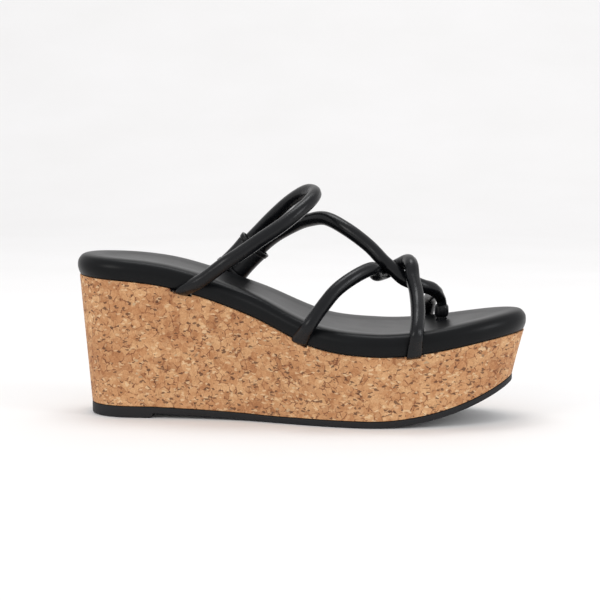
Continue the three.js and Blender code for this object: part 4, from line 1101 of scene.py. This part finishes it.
def outer_change(route, seed):
    """How far the leather stands in or out of its plain section, for every ring and side."""
    at, centres, tangents, across, through = frames_along(route)
    thick = section_of(route, at)[1]
    chance = np.random.default_rng(seed)
    bend = np.gradient(tangents, at, axis=0)
    sharpness = np.linalg.norm(bend, axis=1)
    inwards = bend / np.maximum(sharpness, 1e-6)[:, None]
    wander = chance.uniform(-CREASE_WANDER, CREASE_WANDER, WAVER_POINTS)
    waver = np.interp(at, np.linspace(0, at[-1], WAVER_POINTS), wander)
    crease = 0.5 + 0.5 * np.sin(2 * math.pi * at / CREASE_EVERY + waver)
    crease_depth = CREASE_DEEP * smoothstep(sharpness, *CREASED_BEND) * crease
    fuller = chance.uniform(-1, 1, SWELL_POINTS)
    swell = SWELL * np.interp(at, np.linspace(0, at[-1], SWELL_POINTS), fuller)
    roundness = smoothstep(thick, TAB_HALF_THICKNESS + 0.8, STRAP / 2 - 0.3)
    halfway = len(at) // 2
    seam_side = np.sign(np.dot(through[halfway], SEAM_FACES - centres[halfway]))
    turn = strap_turns()
    away = np.abs(np.angle(np.exp(1j * (turn - seam_side * math.pi / 2))))
    seam = SEAM_DEEP * np.exp(-(away / SEAM_WIDE) ** 2)
    changes = []
    for i in range(len(at)):
        ways = np.outer(np.cos(turn), across[i]) + np.outer(np.sin(turn), through[i])
        facing_bend = np.clip(ways @ inwards[i], 0, 1) ** 2
        changes.append(swell[i] * roundness[i] - crease_depth[i] * facing_bend - seam * roundness[i])
    return np.array(changes)


def strap_turns():
    """The angles of a strap ring's points."""
    return 2 * math.pi * (np.arange(STRAP_SIDES) + 0.5) / STRAP_SIDES


def hollow_strap(route, seed):
    """A leather tube along a route: creased on the inside of its bends, grooved at its seam."""
    at, centres, _, across, through = frames_along(route)
    wide, thick, skin = section_of(route, at)
    change = outer_change(route, seed)
    turn = strap_turns()
    last = len(at) - 1
    inner_rows = list(range(last, -1, -INNER_EVERY))
    if inner_rows[-1] != 0:
        inner_rows.append(0)
    rings = []
    for i in range(len(at)):
        points = centres[i] + np.outer((wide[i] + change[i]) * np.cos(turn), across[i])
        rings.append(points + np.outer((thick[i] + change[i]) * np.sin(turn), through[i]))
    for i in inner_rows:
        points = centres[i] + np.outer((wide[i] - skin[i]) * np.cos(turn), across[i])
        rings.append(points + np.outer((thick[i] - skin[i]) * np.sin(turn), through[i]))
    return np.concatenate(rings), wall_faces(len(rings), STRAP_SIDES, True)


CORD_ROOM = 0.3
CORD_LEAST = 0.6
CORD_SIDES = 16
CORD_EVERY = 3


def filling_cord(route):
    """The cord inside a strap, as far as the leather leaves room for it."""
    at, centres, _, across, through = frames_along(route)
    wide, thick, skin = section_of(route, at)
    wide = wide - skin - CORD_ROOM
    thick = thick - skin - CORD_ROOM
    rows = np.flatnonzero(thick > CORD_LEAST)[1:-1]
    turn = 2 * math.pi * (np.arange(CORD_SIDES) + 0.5) / CORD_SIDES
    rings = []
    for i in list(rows[:-1:CORD_EVERY]) + [rows[-1]]:
        points = centres[i] + np.outer(wide[i] * np.cos(turn), across[i])
        rings.append(points + np.outer(thick[i] * np.sin(turn), through[i]))
    return stacked(rings)


# Soft black strap leather: smooth aniline finish, a low even shine and the finest grain
strap_leather, tree = new_material("soft_black_leather")
place = add_node(tree, "ShaderNodeTexCoord").outputs["Object"]
pores = add_node(tree, "ShaderNodeTexVoronoi", Vector=place, Scale=cells_of(0.526))
rub = add_node(tree, "ShaderNodeTexNoise", Vector=place, Scale=cells_of(6.67), Detail=4.0)
wrinkle = add_node(tree, "ShaderNodeTexNoise", Vector=place, Scale=cells_of(1.92), Detail=3.0)
tone = add_node(tree, "ShaderNodeMixRGB", _0=rub.outputs["Fac"], _1=linear("050608"), _2=linear("0E0F12"))
rough = add_node(tree, "ShaderNodeMapRange", Value=rub.outputs["Fac"], To_Min=0.2, To_Max=0.34)
grain = add_node(tree, "ShaderNodeBump", Height=pores.outputs["Distance"], Strength=0.12, Distance=0.0001)
dents = add_node(tree, "ShaderNodeBump", Height=wrinkle.outputs["Fac"], Strength=0.16, Distance=0.0004,
                 Normal=grain.outputs[0])
surface = add_node(tree, "ShaderNodeBsdfPrincipled", Base_Color=tone.outputs[0],
                   Roughness=rough.outputs[0], Specular_IOR_Level=0.27, Normal=dents.outputs[0])
add_node(tree, "ShaderNodeOutputMaterial", Surface=surface.outputs[0])

# Twisted cotton filling cord, seen only if a strap is cut
cotton, tree = new_material("cotton_cord")
place = add_node(tree, "ShaderNodeTexCoord").outputs["Object"]
threads = add_node(tree, "ShaderNodeTexNoise", Vector=place, Scale=cells_of(0.909), Detail=5.0)
tone = add_node(tree, "ShaderNodeMixRGB", _0=threads.outputs["Fac"], _1=linear("B8AF9F"), _2=linear("DED7C8"))
surface = add_node(tree, "ShaderNodeBsdfPrincipled", Base_Color=tone.outputs[0], Roughness=0.95)
add_node(tree, "ShaderNodeOutputMaterial", Surface=surface.outputs[0])

FIRST_SEED = 5
LEATHER_CREASE = 60

for seed, (name, route) in enumerate(ROUTES.items(), FIRST_SEED):
    strap_points, strap_faces = hollow_strap(route, seed)
    strap = add_piece(name + "_leather", strap_points, strap_faces, strap_leather, "strap_leather",
                      LEATHER_CREASE)
    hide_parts(name)
    cord_points, cord_faces = filling_cord(route)
    cord = add_piece(name + "_filling", cord_points, cord_faces, cotton, "cord", LEATHER_CREASE)
    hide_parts(name + "_cord")

# ---- Sleeve and its elastic ------------------------------------------------------------------
# A leather sleeve on the inner side that joins the two straps to the two short tubes. It is
# wrapped round them, drawn in at its waist and hemmed at both mouths; elastic inside gives.
SLEEVE_LEATHER = 1.1
SLEEVE_RINGS = 60
SLEEVE_SIDES = 72
HEM = 2.6
HEM_RAISED = 0.32
HEM_CREASE = 0.3
HEM_CREASE_WIDE = 0.22
LIP_DRAWN_IN = 0.35
MOUTH_FLARE = 0.75
MOUTH_CURVE = 2.2
VALLEY = 0.75
VALLEY_WIDE = 2.6
SLEEVE_SQUARENESS = 0.82
SIDE_FLATNESS = 2.6

sleeve_out = np.array([0.0, 1.0, 0.0])


def sleeve_ring(along, leather):
    """A ring of the sleeve: two rounds joined by near-flat sides that sink between the tubes."""
    outside = 1 if leather else 0
    turn = 2 * math.pi * np.arange(SLEEVE_SIDES) / SLEEVE_SIDES
    from_mouth = SLEEVE_LENGTH / 2 - abs(along)
    flare = MOUTH_FLARE * (abs(along) / (SLEEVE_LENGTH / 2)) ** MOUTH_CURVE
    hem = HEM_RAISED * smoothstep(HEM - from_mouth, -0.25, 0.05) * outside
    crease = -HEM_CREASE * math.exp(-((from_mouth - HEM - 0.25) / HEM_CREASE_WIDE) ** 2) * outside
    lip = -LIP_DRAWN_IN * smoothstep(LIP_DRAWN_IN - from_mouth, 0, LIP_DRAWN_IN) * outside
    radius = STRAP / 2 + CLEARANCE + leather + flare * 0.45 + hem + crease + lip
    half_straight = TUBE_OFFSET + flare * 0.5
    across = np.cos(turn)
    out_by = np.sin(turn)
    straight = half_straight * np.tanh(across * SIDE_FLATNESS) / math.tanh(SIDE_FLATNESS)
    wide = straight + radius * across
    sink = VALLEY * np.exp(-(wide / VALLEY_WIDE) ** 2) * outside
    deep = (radius - sink) * np.sign(out_by) * np.abs(out_by) ** SLEEVE_SQUARENESS
    points = sleeve_centre + np.outer(wide, sleeve_across) + np.outer(deep, sleeve_out)
    return points + sleeve_axis * along


places = np.linspace(-SLEEVE_LENGTH / 2, SLEEVE_LENGTH / 2, SLEEVE_RINGS)
sleeve_rings = [sleeve_ring(a, SLEEVE_LEATHER) for a in places]
sleeve_rings += [sleeve_ring(a, 0) for a in places[::-1][::4]] + [sleeve_ring(places[0], 0)]
sleeve_points = np.concatenate(sleeve_rings)
sleeve_faces = wall_faces(len(sleeve_rings), SLEEVE_SIDES, True)
sleeve = add_piece("leather_sleeve", sleeve_points, sleeve_faces, strap_leather, "strap_leather",
                   LEATHER_CREASE)
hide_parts("strap_sleeve")

# Black woven elastic: fine ribs across its width, no shine
elastic, tree = new_material("woven_elastic")
place = add_node(tree, "ShaderNodeTexCoord").outputs["Object"]
weave = add_node(tree, "ShaderNodeTexWave", Vector=place, Scale=cells_of(2.63))
tone = add_node(tree, "ShaderNodeMixRGB", _0=weave.outputs["Fac"], _1=linear("0C0C0E"), _2=linear("1E1E21"))
surface = add_node(tree, "ShaderNodeBsdfPrincipled", Base_Color=tone.outputs[0], Roughness=0.9)
add_node(tree, "ShaderNodeOutputMaterial", Surface=surface.outputs[0])
paint_node("sleeve_elastic", elastic)

# ---- Toe post wrap ---------------------------------------------------------------------------
# A short band of the strap leather round both legs of the toe post, just over the footbed. It is
# folded round them and glued, with its seam at the back.
WRAP_HEIGHT = 6.5
WRAP_LEATHER = 0.75
WRAP_SIDES = 56
WRAP_RINGS = 16
WRAP_HALF = (3.0, 3.4)
WRAP_FULLNESS = 0.3
WRAP_EDGE = 1.1
WRAP_EDGE_IN = 0.5
WRAP_SEAM_DEEP = 0.4
WRAP_SEAM_WIDE = 0.14
WRAP_SQUARENESS = 0.78
WRAP_HOLE_SQUARENESS = 0.5
WRAP_STAND_OFF = 0.9

wrap_base = point_over(POST_AT, POST_ACROSS, FOOTBED_DEPTH + WRAP_STAND_OFF)


def wrap_ring(height, leather):
    """A rounded oblong round the two legs, a little fuller at half height."""
    outside = 1 if leather else 0
    turn = 2 * math.pi * np.arange(WRAP_SIDES) / WRAP_SIDES
    full = WRAP_FULLNESS * math.sin(math.pi * height / WRAP_HEIGHT) * outside
    edge = min(height, WRAP_HEIGHT - height)
    soft = -WRAP_EDGE_IN * (1 - min(edge / WRAP_EDGE, 1)) ** 2 * outside
    half_x = WRAP_HALF[0] + leather + full + soft
    half_y = WRAP_HALF[1] + leather + full + soft
    power = WRAP_SQUARENESS if leather else WRAP_HOLE_SQUARENESS
    behind = np.angle(np.exp(1j * (turn - math.pi)))
    seam = WRAP_SEAM_DEEP * np.exp(-(behind / WRAP_SEAM_WIDE) ** 2) * outside
    x = (half_x - seam) * np.sign(np.cos(turn)) * np.abs(np.cos(turn)) ** power
    y = half_y * np.sign(np.sin(turn)) * np.abs(np.sin(turn)) ** power
    return wrap_base + np.column_stack([x, y, np.full(WRAP_SIDES, float(height))])


heights = np.linspace(0, WRAP_HEIGHT, WRAP_RINGS)
wrap_rings = [wrap_ring(h, WRAP_LEATHER) for h in heights]
wrap_rings += [wrap_ring(h, 0) for h in (WRAP_HEIGHT, 3, 0)]
wrap_points = np.concatenate(wrap_rings)
wrap_faces = wall_faces(len(wrap_rings), WRAP_SIDES, True)
wrap = add_piece("toe_post_band", wrap_points, wrap_faces, strap_leather, "strap_leather", LEATHER_CREASE)
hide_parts("toe_post_wrap")

# ---- Final update ----------------------------------------------------------------------------
# The view layer is brought up to date with every piece.
bpy.context.view_layer.update()
